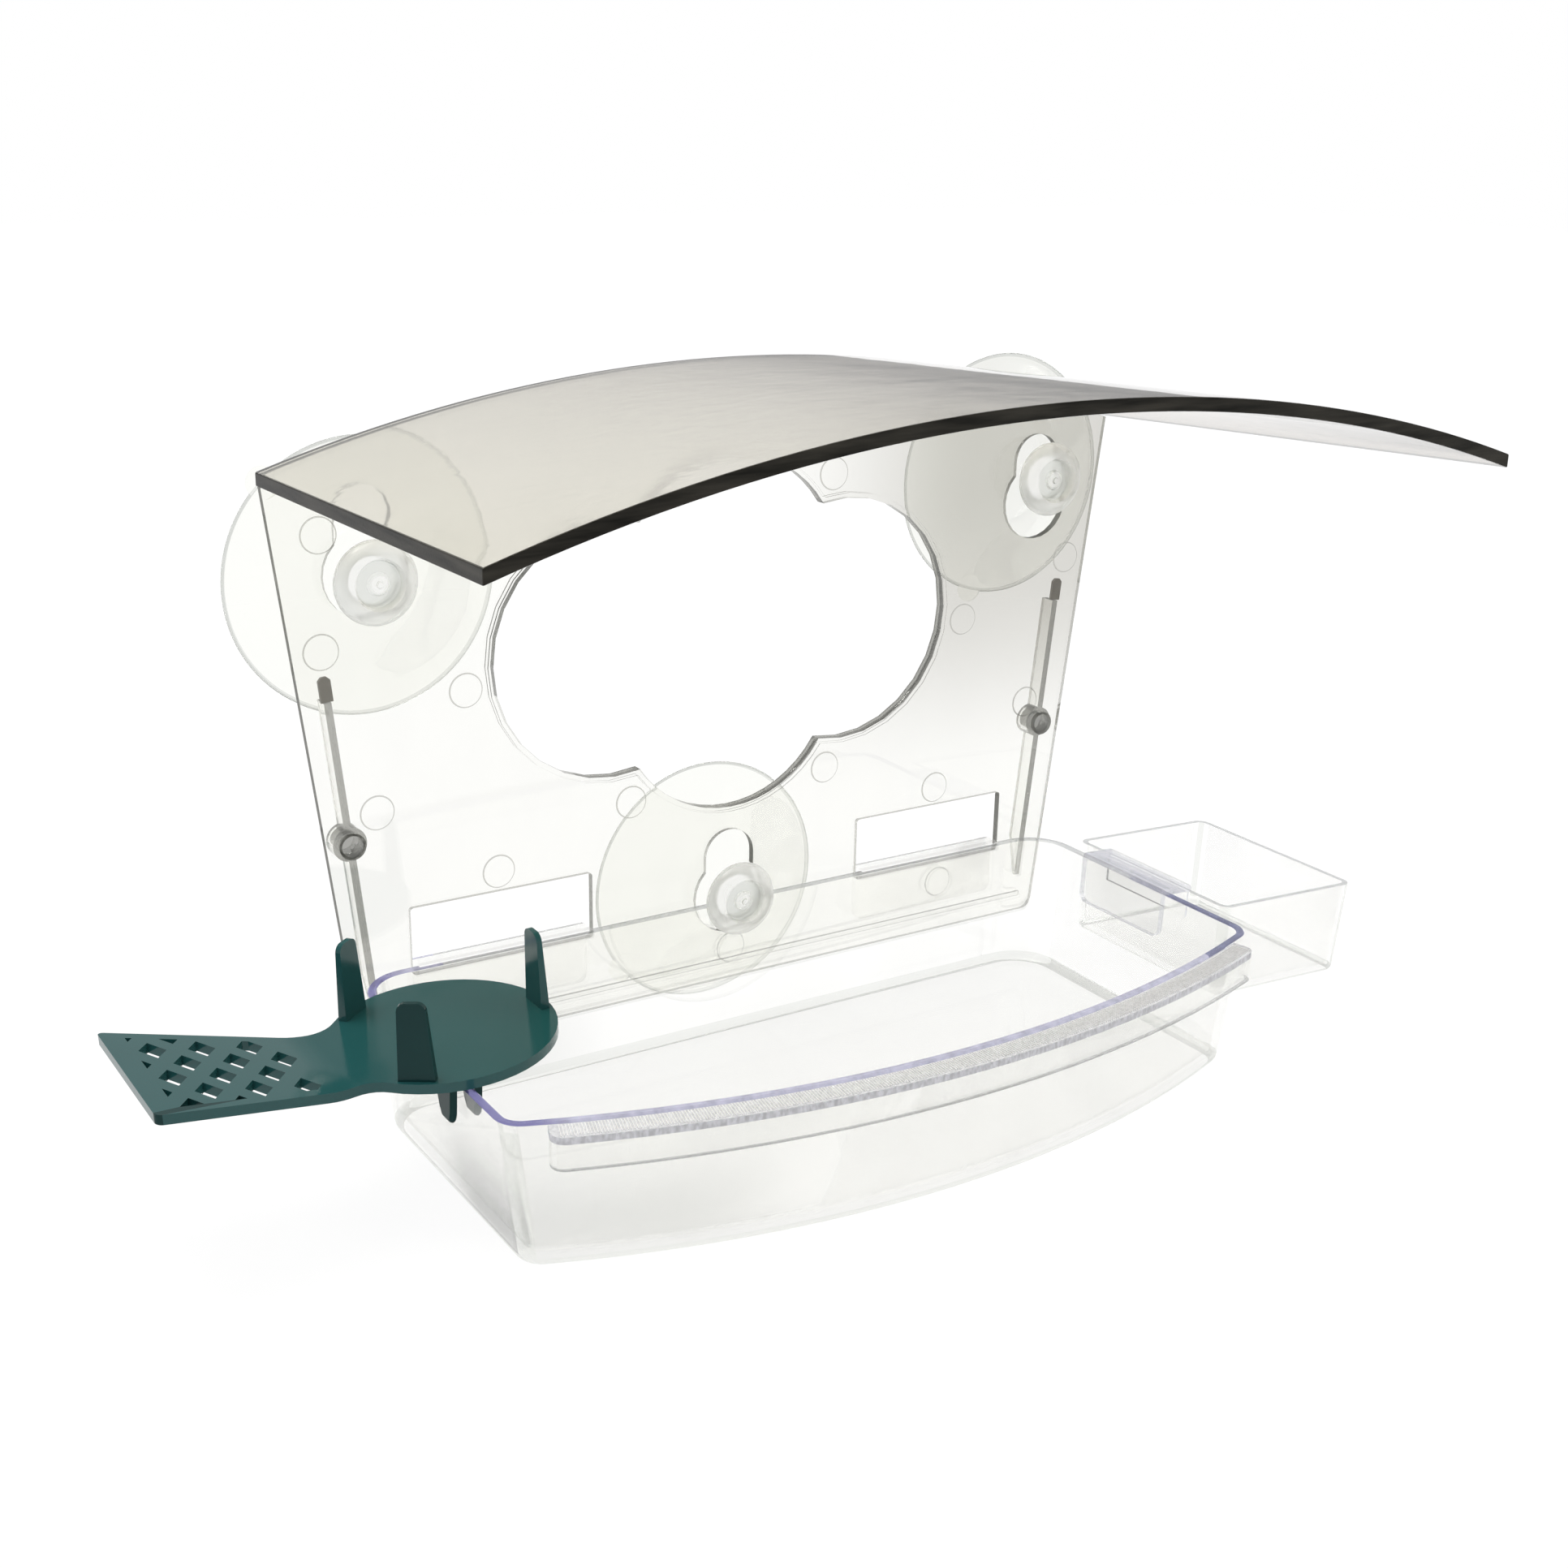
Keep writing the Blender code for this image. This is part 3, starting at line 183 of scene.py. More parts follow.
class NodeBench:
    """Adds nodes to one node tree."""

    def __init__(self, tree: bpy.types.NodeTree) -> None:
        """Take over a node tree and clear it."""
        self.tree = tree
        tree.nodes.clear()

    def node(self, kind: str, settings: Optional[dict] = None,
             inputs: Optional[dict] = None) -> bpy.types.Node:
        """Add one node.

        Args:
            kind: The node's type.
            settings: Its settings, which are set first. "stops" holds a ramp's places and colours.
            inputs: Values, wires or sockets by the input's name or number.

        Returns:
            The new node.
        """
        made = self.tree.nodes.new(kind)
        for name, value in (settings or {}).items():
            if name == "stops":
                self._set_stops(made.color_ramp, value)
            else:
                setattr(made, name, value)
        for key, value in (inputs or {}).items():
            if isinstance(value, Wire):
                self.tree.links.new(value.socket, made.inputs[key])
            elif isinstance(value, bpy.types.NodeSocket):
                self.tree.links.new(value, made.inputs[key])
            else:
                made.inputs[key].default_value = value
        return made

    @staticmethod
    def _set_stops(ramp: bpy.types.ColorRamp, stops: list[tuple[float, Colour]]) -> None:
        """Give a ramp its stops.

        Args:
            ramp: The colour ramp.
            stops: Places from 0 to 1 with their colours, in order.
        """
        while len(ramp.elements) < len(stops):
            ramp.elements.new(1.0)
        for element, (place, colour) in zip(ramp.elements, stops):
            element.position = place
            element.color = (*colour, 1.0)

    def wire(self, node: bpy.types.Node, output: Union[str, int] = 0) -> Wire:
        """The wire of one of a node's outputs."""
        return Wire(self, node.outputs[output])

    def noise(self, scale: float, stretch: Triple = EVEN, detail: float = 3.0) -> Wire:
        """A noise over the piece.

        Args:
            scale: Repeats for each metre.
            stretch: How much more the pattern repeats along each axis.
            detail: The noise's octaves.

        Returns:
            The wire of the noise, from 0 to 1.
        """
        coordinates = self.node("ShaderNodeTexCoord")
        mapping = self.node("ShaderNodeMapping", None, {
            "Vector": coordinates.outputs["Object"],
            "Scale": tuple(scale * share for share in stretch)})
        made = self.node("ShaderNodeTexNoise", None, {
            "Vector": mapping.outputs[0], "Scale": 1.0, "Detail": detail})
        return self.wire(made, "Fac")

    def ramp(self, value: Wire, stops: list[tuple[float, Colour]]) -> Wire:
        """The wire of a colour that follows a value, by stops from 0 to 1 with their colours."""
        made = self.node("ShaderNodeValToRGB", {"stops": stops}, {"Fac": value})
        return self.wire(made, "Color")

    def mix(self, mask: Wire, first: Wire, second: Colour) -> Wire:
        """A colour drawn towards another by a mask.

        Args:
            mask: 0 for the first colour and 1 for the second.
            first: The wire of the first colour.
            second: The second colour.

        Returns:
            The wire of the mixed colour.
        """
        made = self.node("ShaderNodeMix", {"data_type": "RGBA"}, {
            "Factor": mask, 6: first, 7: (*second, 1.0)})
        return self.wire(made, 2)

    def climb(self, value: Union[Wire, bpy.types.NodeSocket], start: float, end: float,
              kind: str = "LINEAR") -> Wire:
        """A value that climbs from 0 to 1 while another goes from start to end.

        Args:
            value: The other value.
            start: Where the result is 0.
            end: Where the result is 1.
            kind: The Map Range node's interpolation.

        Returns:
            The wire of the result.
        """
        made = self.node("ShaderNodeMapRange", {"interpolation_type": kind}, {
            "Value": value, "From Min": start, "From Max": end})
        return self.wire(made)

    def span(self, axis: int, start: float, end: float) -> Wire:
        """A value that climbs softly from 0 to 1 between two places along an axis.

        Args:
            axis: 0, 1 or 2 for X, Y or Z.
            start: Where the value is 0.
            end: Where the value is 1.

        Returns:
            The wire of the value.
        """
        coordinates = self.node("ShaderNodeTexCoord")
        split = self.node("ShaderNodeSeparateXYZ", None, {0: coordinates.outputs["Object"]})
        return self.climb(split.outputs[axis], start, end, "SMOOTHSTEP")

    def bump(self, height: Wire, depth: float) -> Wire:
        """The wire of a normal bumped by a pattern, with the relief in metres at a height of 1."""
        made = self.node("ShaderNodeBump", None, {"Height": height, "Distance": depth, "Strength": 1.0})
        return self.wire(made, "Normal")


def new_material(name: str) -> tuple[bpy.types.Material, NodeBench]:
    """Make an empty node material.

    Args:
        name: The material's name.

    Returns:
        The material and the bench of its tree.
    """
    material = bpy.data.materials.new(name)
    material.use_nodes = True
    return material, NodeBench(material.node_tree)


@dataclass(frozen=True)
class Shade:
    """A soft change of tint towards one side of a piece: painted shade, except on the violet rim, where it
    deepens the violet.
    """

    tint: Colour
    spans: tuple[tuple[int, float, float], ...]

    def mask(self, bench: NodeBench) -> Wire:
        """Multiply the climbs along the shade's spans.

        Args:
            bench: The material's bench.

        Returns:
            The wire of the shade's strength, from 0 to 1.
        """
        mask = bench.span(*self.spans[0])
        for span in self.spans[1:]:
            mask = mask * bench.span(*span)
        return mask


@dataclass(frozen=True)
class Finish:
    """The look of one kind of surface, as one material."""

    name: str

    def material(self) -> bpy.types.Material:
        """Make the material, or find it where it is made already.

        Returns:
            The material.
        """
        material = bpy.data.materials.get(self.name)
        if material is None:
            material, bench = new_material(self.name)
            bench.node("ShaderNodeOutputMaterial", None, {"Surface": self.surface(bench)})
        return material

    def surface(self, bench: NodeBench) -> bpy.types.NodeSocket:
        """The output of the surface's shader, which each kind of finish makes its own way."""
        raise NotImplementedError(self.name)


@dataclass(frozen=True)
class GlassyFinish(Finish):
    """A see-through plastic, or the tinted look of its edges, darkened with painted shade."""

    tint: Colour
    haze: float
    veil: float = 0.0
    milk: float = 0.0
    ior: float = 1.49
    ripple: float = 0.02 * MM
    ripple_scale: float = 60.0
    cloud: float = 0.985
    shades: tuple[Shade, ...] = ()
    shaded_veil: Optional[float] = None

    def surface(self, bench: NodeBench) -> bpy.types.NodeSocket:
        """Mix a glassy plastic with a plain clear veil, which is all that shadows and soft light meet.

        Args:
            bench: The material's bench.

        Returns:
            The output of the surface's shader.
        """
        flow = bench.noise(self.ripple_scale, FLOW_STRETCH)
        smear = bench.noise(self.ripple_scale * SMEAR_FINENESS, detail=SMEAR_DETAIL)
        cloudy = bench.climb(flow, *CLOUD_RANGE)
        darkest = tuple(share * self.cloud for share in self.tint)
        colour = bench.ramp(cloudy, [(0.0, darkest), (1.0, self.tint)])
        for shade in self.shades:
            colour = bench.mix(shade.mask(bench), colour, shade.tint)
        plastic = bench.node("ShaderNodeBsdfPrincipled", None, {
            "Base Color": colour, "Roughness": self.haze + self.haze * smear,
            "IOR": self.ior, "Transmission Weight": 1.0 - self.milk,
            "Normal": bench.bump(flow, self.ripple)})
        clear = bench.node("ShaderNodeBsdfTransparent", None, {"Color": (*self.tint, 1.0)})
        path = bench.node("ShaderNodeLightPath")
        soft = bench.wire(path, "Is Shadow Ray") | bench.wire(path, "Is Diffuse Ray")
        veil = self.veil
        # Under the first shade's painted shade the veil thins, so that painted shade shows more.
        if self.shaded_veil is not None:
            veil = self.veil - self.shades[0].mask(bench) * (self.veil - self.shaded_veil)
        mixed = bench.node("ShaderNodeMixShader", None, {
            "Fac": soft | veil, 1: plastic.outputs[0], 2: clear.outputs[0]})
        return mixed.outputs[0]


@dataclass(frozen=True)
class SolidFinish(Finish):
    """An opaque moulded plastic."""

    dark: Colour
    light: Colour
    gloss: float
    specular: float = 0.5
    grain: float = 0.015 * MM
    streak: Triple = (1.0, 1.0, 1.6)
    contrast: float = 0.5

    def surface(self, bench: NodeBench) -> bpy.types.NodeSocket:
        """Make a plain plastic with a slow change of colour and a fine grain.

        Args:
            bench: The material's bench.

        Returns:
            The output of the surface's shader.
        """
        flow = bench.climb(bench.noise(STREAK_SCALE, self.streak), 0.5 - self.contrast, 0.5 + self.contrast)
        fine = bench.noise(GRAIN_SCALE, detail=GRAIN_DETAIL)
        plastic = bench.node("ShaderNodeBsdfPrincipled", None, {
            "Base Color": bench.ramp(flow, [(0.0, self.dark), (1.0, self.light)]),
            "Roughness": self.gloss * LEAST_ROUGH + self.gloss * ROUGH_SWING * fine,
            "Specular IOR Level": self.specular, "IOR": SOLID_IOR,
            "Normal": bench.bump(fine, self.grain)})
        return plastic.outputs[0]


# Painted shade: the clear moulding greys towards its upper right, under the roof's right end.
CLEAR = GlassyFinish(
    "clear_moulding_painted_shade", (0.965, 0.965, 0.94), 0.012, milk=0.02,
    shades=(Shade((0.67, 0.66, 0.625), ((0, 10 * MM, 90 * MM), (2, 20 * MM, 95 * MM))),))
# Painted shade: the cut edges, the slots' sides, the rails' narrow faces and pins, the cloud's bead and the
# pin marks are tinted grey to dark, for the dark lines that refraction draws along a clear plate's edges.
CUT_EDGE_PAINTED_SHADE = GlassyFinish("clear_cut_edge_painted_shade", (0.24, 0.24, 0.22), 0.05, veil=0.45)
SLOT_EDGE_PAINTED_SHADE = GlassyFinish("clear_slot_edge_painted_shade", (0.60, 0.60, 0.58), 0.15, veil=0.35, milk=0.45)
RAIL_PAINTED_SHADE = GlassyFinish("clear_rail_painted_shade", (0.50, 0.50, 0.48), 0.04, veil=0.45)
BEAD = GlassyFinish("clear_bead", (0.46, 0.46, 0.44), 0.04, veil=0.3, milk=0.2)
# Painted shade: the bead's upper left side is nearly black, where light is mirrored away inside the plate.
BEAD_NEAR_BLACK_PAINTED_SHADE = GlassyFinish("shaded_clear_bead", (0.06, 0.06, 0.055), 0.04, veil=0.15, milk=0.85)
PIN_MARK_PAINTED_SHADE = GlassyFinish("pin_mark_painted_shade", (0.55, 0.55, 0.52), 0.10, veil=0.35, milk=0.2)
# Painted shade: the tray's front wall is darker towards its left and along its low front, for the darker
# room that it mirrors and bends.
TRAY = GlassyFinish(
    "clear_tray", (0.999, 0.999, 0.992), 0.015, veil=0.76, milk=0.005, cloud=0.86, ripple_scale=26.0,
    shades=(
        Shade((0.38, 0.39, 0.38), ((0, -40 * MM, -85 * MM), (2, -8 * MM, -34 * MM))),
        Shade((0.46, 0.47, 0.46), ((1, -98 * MM, -110 * MM), (2, -36 * MM, -47 * MM)))))
TRAY_FLOOR = GlassyFinish(
    "clear_tray_floor", (0.999, 0.999, 0.992), 0.015, veil=0.88, milk=0.005, cloud=0.86,
    ripple_scale=26.0)
RIGHT_WALL = GlassyFinish(
    "clear_tray_right_wall", (0.999, 0.999, 0.995), 0.015, veil=0.93, cloud=0.86, ripple_scale=26.0)
# Painted shade: the left wall darkens towards its lower front, for the darker room that it mirrors, and is
# less see-through there.
LEFT_WALL_PAINTED_SHADE = GlassyFinish(
    "clear_tray_left_wall_painted_shade", (0.998, 0.998, 0.99), 0.015, veil=0.9, cloud=0.96, ripple_scale=26.0,
    shades=(Shade((0.12, 0.122, 0.12), ((1, -50 * MM, -92 * MM), (2, -2 * MM, -36 * MM))),),
    shaded_veil=0.4)
# Painted shade: the outer bends and rim lines of the tray and side cup are tinted grey, for the soft grey
# lines that refraction draws there.
TRAY_BEND_PAINTED_SHADE = GlassyFinish("clear_tray_bend_painted_shade", (0.88, 0.89, 0.87), 0.05, veil=0.6, milk=0.04)
TRAY_LINE_PAINTED_SHADE = GlassyFinish("tray_line_painted_shade", (0.58, 0.59, 0.60), 0.10, veil=0.42, milk=0.12)
CUP_WALL = GlassyFinish("side_cup_wall", (0.995, 0.995, 0.99), 0.01, veil=0.9)
SADDLE_PLATE = GlassyFinish("saddle_plate", (0.998, 0.998, 0.999), 0.01, veil=0.97)
SADDLE_EDGE = GlassyFinish(
    "saddle_edge", (0.90, 0.905, 0.955), 0.08, veil=0.5, milk=0.25, cloud=0.72, ripple_scale=240.0)
LEDGE_BED = GlassyFinish(
    "ledge_bed", (0.84, 0.85, 0.91), 0.10, veil=0.1, milk=0.5, cloud=0.7, ripple_scale=1100.0)
# Painted shade: the ledge's front edge is a mottled grey, for the ends of the ribs seen through it.
LEDGE_EDGE_PAINTED_SHADE = GlassyFinish(
    "ledge_edge", (0.66, 0.66, 0.73), 0.22, veil=0.1, milk=0.5, cloud=0.55, ripple_scale=900.0)
KNURL = GlassyFinish(
    "ledge_knurl", (0.975, 0.98, 1.0), 0.10, veil=0.15, milk=0.85, cloud=0.84, ripple_scale=1100.0)
VIOLET_RIM = GlassyFinish(
    "violet_rim", (0.54, 0.54, 0.76), 0.12, veil=0.05, milk=0.5, cloud=0.7, ripple_scale=300.0,
    shades=(Shade((0.13, 0.12, 0.36), ((0, -108 * MM, -121 * MM),)),))
DARK_RIM = GlassyFinish(
    "dark_violet_rim", (0.12, 0.13, 0.28), 0.12, veil=0.05, milk=0.4, cloud=0.6, ripple_scale=300.0)
# Painted shade: the sheet darkens towards the roof's right end, as seen there at a grazing angle.
SMOKED = GlassyFinish(
    "smoked_sheet_painted_shade", (0.872, 0.842, 0.752), 0.02, milk=0.02, ripple=0.03 * MM,
    shades=(Shade((0.51, 0.47, 0.43), ((0, -170 * MM, 94 * MM),)),))
# Painted shade: the right cup greys where it lies under the roof's right end.
SOFT = GlassyFinish(
    "soft_clear_vinyl_painted_shade", (0.975, 0.977, 0.96), 0.04, veil=0.86, milk=0.02, ior=1.45, ripple=0.05 * MM,
    shades=(Shade((0.3, 0.3, 0.28), ((0, 50 * MM, 100 * MM), (2, 80 * MM, 120 * MM))),))
# Painted shade: the cups' lip edges and nub sides are greyed, for the lines that refraction draws there.
SOFT_LIP_PAINTED_SHADE = GlassyFinish("soft_lip_edge_painted_shade", (0.78, 0.79, 0.77), 0.06, veil=0.45, milk=0.1, ior=1.45)
SOFT_HEAD = GlassyFinish(
    "milky_vinyl_head", (0.965, 0.97, 0.965), 0.05, veil=0.36, milk=0.42, ior=1.42, cloud=0.94,
    ripple=0.12 * MM)
# Painted shade: the head's dish ring is darker than its rim, for the dark crescents that refraction makes
# there.
SOFT_DISH_PAINTED_SHADE = GlassyFinish(
    "milky_vinyl_dish_painted_shade", (0.82, 0.84, 0.82), 0.05, veil=0.2, milk=0.42, ior=1.42, cloud=0.9,
    ripple=0.12 * MM)
SMOKED_SIDE = SolidFinish(
    "smoked_cut_edge", (0.002, 0.002, 0.001), (0.046, 0.042, 0.034), 0.35, specular=0.10,
    streak=(1.0, 1.0, 9.0), contrast=0.25)
GREEN = SolidFinish(
    "green_moulding", (0.013, 0.074, 0.075), (0.017, 0.086, 0.087), 0.11, specular=0.35)
# Painted shade: the front blade, whose camera side is in shade, is a darker copy of the green.
GREEN_BLADE_PAINTED_SHADE = SolidFinish(
    "shaded_green_blade", (0.006, 0.034, 0.034), (0.009, 0.044, 0.044), 0.13, specular=0.14)
# Painted shade: the prongs, under the tray's rim, are a darker copy of the green.
GREEN_PRONG_PAINTED_SHADE = SolidFinish(
    "shaded_green_prong", (0.006, 0.030, 0.030), (0.010, 0.042, 0.042), 0.3, specular=0.08)
GREY_TIP = SolidFinish("grey_tip", (0.125, 0.112, 0.090), (0.165, 0.150, 0.122), 0.45)


def within(value: float, span: Range) -> bool:
    """Tell whether a value lies between two others."""
    return span[0] < value < span[1]


def only(piece: bpy.types.Object) -> None:
    """Select one object and nothing else.

    Args:
        piece: The object.
    """
    bpy.ops.object.select_all(action="DESELECT")
    piece.select_set(True)
    bpy.context.view_layer.objects.active = piece


def edit_all(piece: bpy.types.Object) -> None:
    """Open a piece in edit mode, with all of it selected.

    Args:
        piece: The piece.
    """
    only(piece)
    bpy.ops.object.mode_set(mode="EDIT")
    bpy.ops.mesh.select_all(action="SELECT")


def close_edit() -> None:
    """Leave edit mode with nothing selected."""
    bpy.ops.mesh.select_all(action="DESELECT")
    bpy.ops.object.mode_set(mode="OBJECT")


def modify(piece: bpy.types.Object, kind: str, **settings: object) -> None:
    """Finish a piece with a modifier, and apply it.

    Args:
        piece: The piece, which is the active one.
        kind: The modifier's type.
        settings: Its settings by name.
    """
    modifier = piece.modifiers.new(kind.lower(), kind)
    for name, value in settings.items():
        setattr(modifier, name, value)
    bpy.ops.object.modifier_apply(modifier=modifier.name)


def smooth(piece: bpy.types.Object) -> None:
    """Shade a piece smooth, with crisp edges and flat flats.

    Args:
        piece: The piece.
    """
    only(piece)
    bpy.ops.object.shade_smooth_by_angle(angle=CRISP_TURN)
    modify(piece, "WEIGHTED_NORMAL", keep_sharp=True)


def merged_copy(node: str, name: str) -> bpy.types.Object:
    """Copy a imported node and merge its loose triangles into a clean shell.

    Args:
        node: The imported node's name.
        name: The new piece's name.

    Returns:
        The new piece.
    """
    piece = bpy.data.objects.new(name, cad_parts[node].data.copy())
    bpy.context.scene.collection.objects.link(piece)
    only(piece)
    bpy.ops.mesh.customdata_custom_splitnormals_clear()
    edit_all(piece)
    bpy.ops.mesh.remove_doubles(threshold=MERGE_REACH)
    bpy.ops.mesh.dissolve_limited(angle_limit=FLAT_TURN)
    close_edit()
    smooth(piece)
    return piece


def dress(piece: bpy.types.Object, body: Finish,
          parts: tuple[tuple[Finish, FaceTest], ...] = ()) -> None:
    """Give a piece its finish, and some of its faces another.

    Args:
        piece: The piece.
        body: The finish of all other faces.
        parts: Finishes, each with a test of a face's centre and normal. A later one goes over.
    """
    piece.data.materials.clear()
    piece.data.materials.append(body.material())
    for index, (finish, test) in enumerate(parts, start=1):
        piece.data.materials.append(finish.material())
        for face in piece.data.polygons:
            if test(face.center, face.normal):
                face.material_index = index


def settle(piece: bpy.types.Object, body: Body, slot: Slot, *nodes: str) -> None:
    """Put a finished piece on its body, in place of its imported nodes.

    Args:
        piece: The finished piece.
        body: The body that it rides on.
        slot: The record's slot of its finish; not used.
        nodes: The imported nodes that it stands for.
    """
    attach(piece, body.value)
    if nodes:
        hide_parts(*nodes)
    log.info("%s: %d faces", piece.name, len(piece.data.polygons))


def join_solid(piece: bpy.types.Object, other: bpy.types.Object) -> None:
    """Union another closed solid into a piece and delete it.

    Args:
        piece: The piece that grows.
        other: The solid that goes into it.
    """
    only(piece)
    modify(piece, "BOOLEAN", operation="UNION", solver="EXACT", object=other)
    bpy.data.objects.remove(other, do_unlink=True)


@dataclass(frozen=True)
class Ring:
    """One ring of a turned piece, at a depth along Y, swayed aside by a share of the lean."""

    radius: float
    depth: float
    sway: float = 0.0


def turned(name: str, axis: Vector, rings: list[Ring], lean: Vector = STRAIGHT,
           steps: int = FINE_STEPS) -> bpy.types.Object:
    """Turn a closed solid about an axis along Y, ring by ring.

    Args:
        name: The piece's name.
        axis: A point of the axis, from which the rings' depths count.
        rings: The rings, from one end face to the other.
        lean: How far a ring with a sway of 1 stands aside.
        steps: The number of sides.

    Returns:
        The turned piece.
    """
    spots = [axis + Vector((0.0, ring.depth, 0.0)) + lean * ring.sway for ring in rings]
    bpy.ops.object.select_all(action="DESELECT")
    bpy.ops.mesh.primitive_circle_add(
        vertices=steps, radius=rings[0].radius, fill_type="NGON",
        location=spots[0], rotation=(pi / 2, 0.0, 0.0))
    piece = bpy.context.active_object
    piece.name = name
    bpy.ops.object.transform_apply()
    edit_all(piece)
    for index in range(1, len(rings)):
        step = spots[index] - spots[index - 1]
        share = rings[index].radius / rings[index - 1].radius
        bpy.ops.mesh.extrude_region_move(TRANSFORM_OT_translate={"value": step})
        bpy.ops.transform.resize(value=(share, share, share), center_override=spots[index])
    bpy.ops.mesh.select_all(action="SELECT")
    bpy.ops.mesh.normals_make_consistent(inside=False)
    close_edit()
    return piece


@dataclass
class BackPanel:
    """The clear plate, with the round marks that its mould's pins left, at X and Z in millimetres."""

    node: str = "back_panel"
    front: float = -15.8 * MM
    back: float = -13.4 * MM
    slot_x: Range = (45 * MM, 110 * MM)
    slot_z: Range = (-7 * MM, 17 * MM)
    cloud_x: float = 86 * MM
    cloud_z: Range = (28 * MM, 143 * MM)
    bead_reach: float = 2 * MM
    # The cloud's upper left, from which the bead's sides get painted shade.
    painted_shade_bead_x: float = -40 * MM
    painted_shade_bead_z: float = 74 * MM
    mark_radius: float = 5.25 * MM
    mark_height: float = 0.25 * MM
    mark_slope: float = 0.42 * MM
    mark_reach: float = 5.45 * MM
    marks: tuple[Range, ...] = (
        (-131.0, 95.9), (131.0, 95.9), (-130.0, 128.3), (-88.7, 79.3), (-117.0, 47.0),
        (-80.0, 22.2), (-35.4, 36.4), (0.6, -19.2), (35.4, 36.4), (80.0, 22.2),
        (88.7, 79.3), (117.0, 47.0), (36.2, 131.8), (83.0, -12.4))

    def build(self) -> None:
        """Make the panel and dress it."""
        panel = merged_copy(self.node, "clear_panel")
        for x, z in self.marks:
            spot = Vector((x * MM, self.front - self.mark_height, z * MM))
            join_solid(panel, turned("mark", spot, [
                Ring(self.mark_radius - self.mark_slope, 0.0),
                Ring(self.mark_radius, self.mark_height),
                Ring(self.mark_radius, 2 * self.mark_height)], steps=COARSE_STEPS))
        smooth(panel)
        # The edges, slots, bead and pin marks get painted shade.
        dress(panel, CLEAR, (
            (CUT_EDGE_PAINTED_SHADE, self.is_side),
            (SLOT_EDGE_PAINTED_SHADE, self.is_slot),
            (BEAD, self.is_bead),
            (BEAD_NEAR_BLACK_PAINTED_SHADE, self.is_painted_shade_bead),
            (PIN_MARK_PAINTED_SHADE, self.is_mark)))
        settle(panel, Body.FRAME, Slot.CLEAR, self.node)

    def is_side(self, place: Vector, normal: Vector) -> bool:
        """Tell the faces of the plate's thickness, with its bead's."""
        return abs(normal.y) < SIDE

    def is_slot(self, place: Vector, normal: Vector) -> bool:
        """Tell the sides of the hooks' slots."""
        inside = within(abs(place.x), self.slot_x) and within(place.z, self.slot_z)
        return self.is_side(place, normal) and inside

    def is_bead(self, place: Vector, normal: Vector) -> bool:
        """Tell the sides of the cloud and its bead."""
        side = self.is_side(place, normal) and abs(place.y - (self.front + self.back) / 2) < self.bead_reach
        return side and abs(place.x) < self.cloud_x and within(place.z, self.cloud_z)

    def is_painted_shade_bead(self, place: Vector, normal: Vector) -> bool:
        """Tell the stretch of the bead's sides at the cloud's upper left that gets painted shade, nearly
        black.
        """
        upper_left = place.x < self.painted_shade_bead_x and place.z > self.painted_shade_bead_z
        return self.is_bead(place, normal) and upper_left and normal.x > BRIM

    def is_mark(self, place: Vector, normal: Vector) -> bool:
        """Tell the low round walls of the pin marks."""
        near = any(hypot(place.x - x * MM, place.z - z * MM) < self.mark_reach for x, z in self.marks)
        return abs(normal.y) < SQUARE and near and place.y < self.front


@dataclass
class Roof:
    """The smoked arched sheet."""

    node: str = "roof"

    def build(self) -> None:
        """Make the roof and dress it."""
        roof = merged_copy(self.node, "smoked_roof")
        dress(roof, SMOKED, ((SMOKED_SIDE, self.is_side),))
        settle(roof, Body.FRAME, Slot.SMOKED, self.node)

    def is_side(self, place: Vector, normal: Vector) -> bool:
        """Tell the faces of the sheet's thickness."""
        return abs(normal.z) < SLANT


@dataclass
class Rails:
    """The clear strips behind the panel, their grey tips, and their pins, with rings in millimetres."""

    sides: tuple[str, str] = ("left", "right")
    pin_rings: tuple[Range, ...] = (
        (0.3, 0.45), (0.8, 0.35), (1.1, 0.05), (1.6, 0.0), (2.0, 0.15), (3.0, 0.1), (3.6, 0.2),
        (3.95, 0.45), (3.95, 0.75), (3.2, 0.8), (3.2, 8.8), (2.8, 9.2))

    def build(self) -> None:
        """Make both rails with what is on them."""
        for side in self.sides:
            rail = merged_copy(f"rail_{side}", f"side_rail_{side}")
            dress(rail, CLEAR, ((RAIL_PAINTED_SHADE, self.is_narrow),))
            settle(rail, Body.FRAME, Slot.CLEAR, f"rail_{side}")
            self.pin(side)
            tip = merged_copy(f"rail_cap_{side}", f"rail_tip_{side}")
            dress(tip, GREY_TIP)
            settle(tip, Body.FRAME, Slot.GREY, f"rail_cap_{side}")

    def is_narrow(self, place: Vector, normal: Vector) -> bool:
        """Tell a strip's narrow faces, which look forward, back, up or down."""
        return abs(normal.x) < EDGE

    def pin(self, side: str) -> None:
        """Make one pin, with a ringed dimple in its head.

        Args:
            side: Its side of the panel.
        """
        low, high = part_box(f"rail_pin_{side}")
        head = Vector(((low[0] + high[0]) / 2, low[1], (low[2] + high[2]) / 2))
        rings = [Ring(radius * MM, depth * MM) for radius, depth in self.pin_rings]
        pin = turned(f"eye_pin_{side}", head, rings, steps=COARSE_STEPS)
        smooth(pin)
        dress(pin, RAIL_PAINTED_SHADE)
        settle(pin, Body.FRAME, Slot.CLEAR, f"rail_pin_{side}")


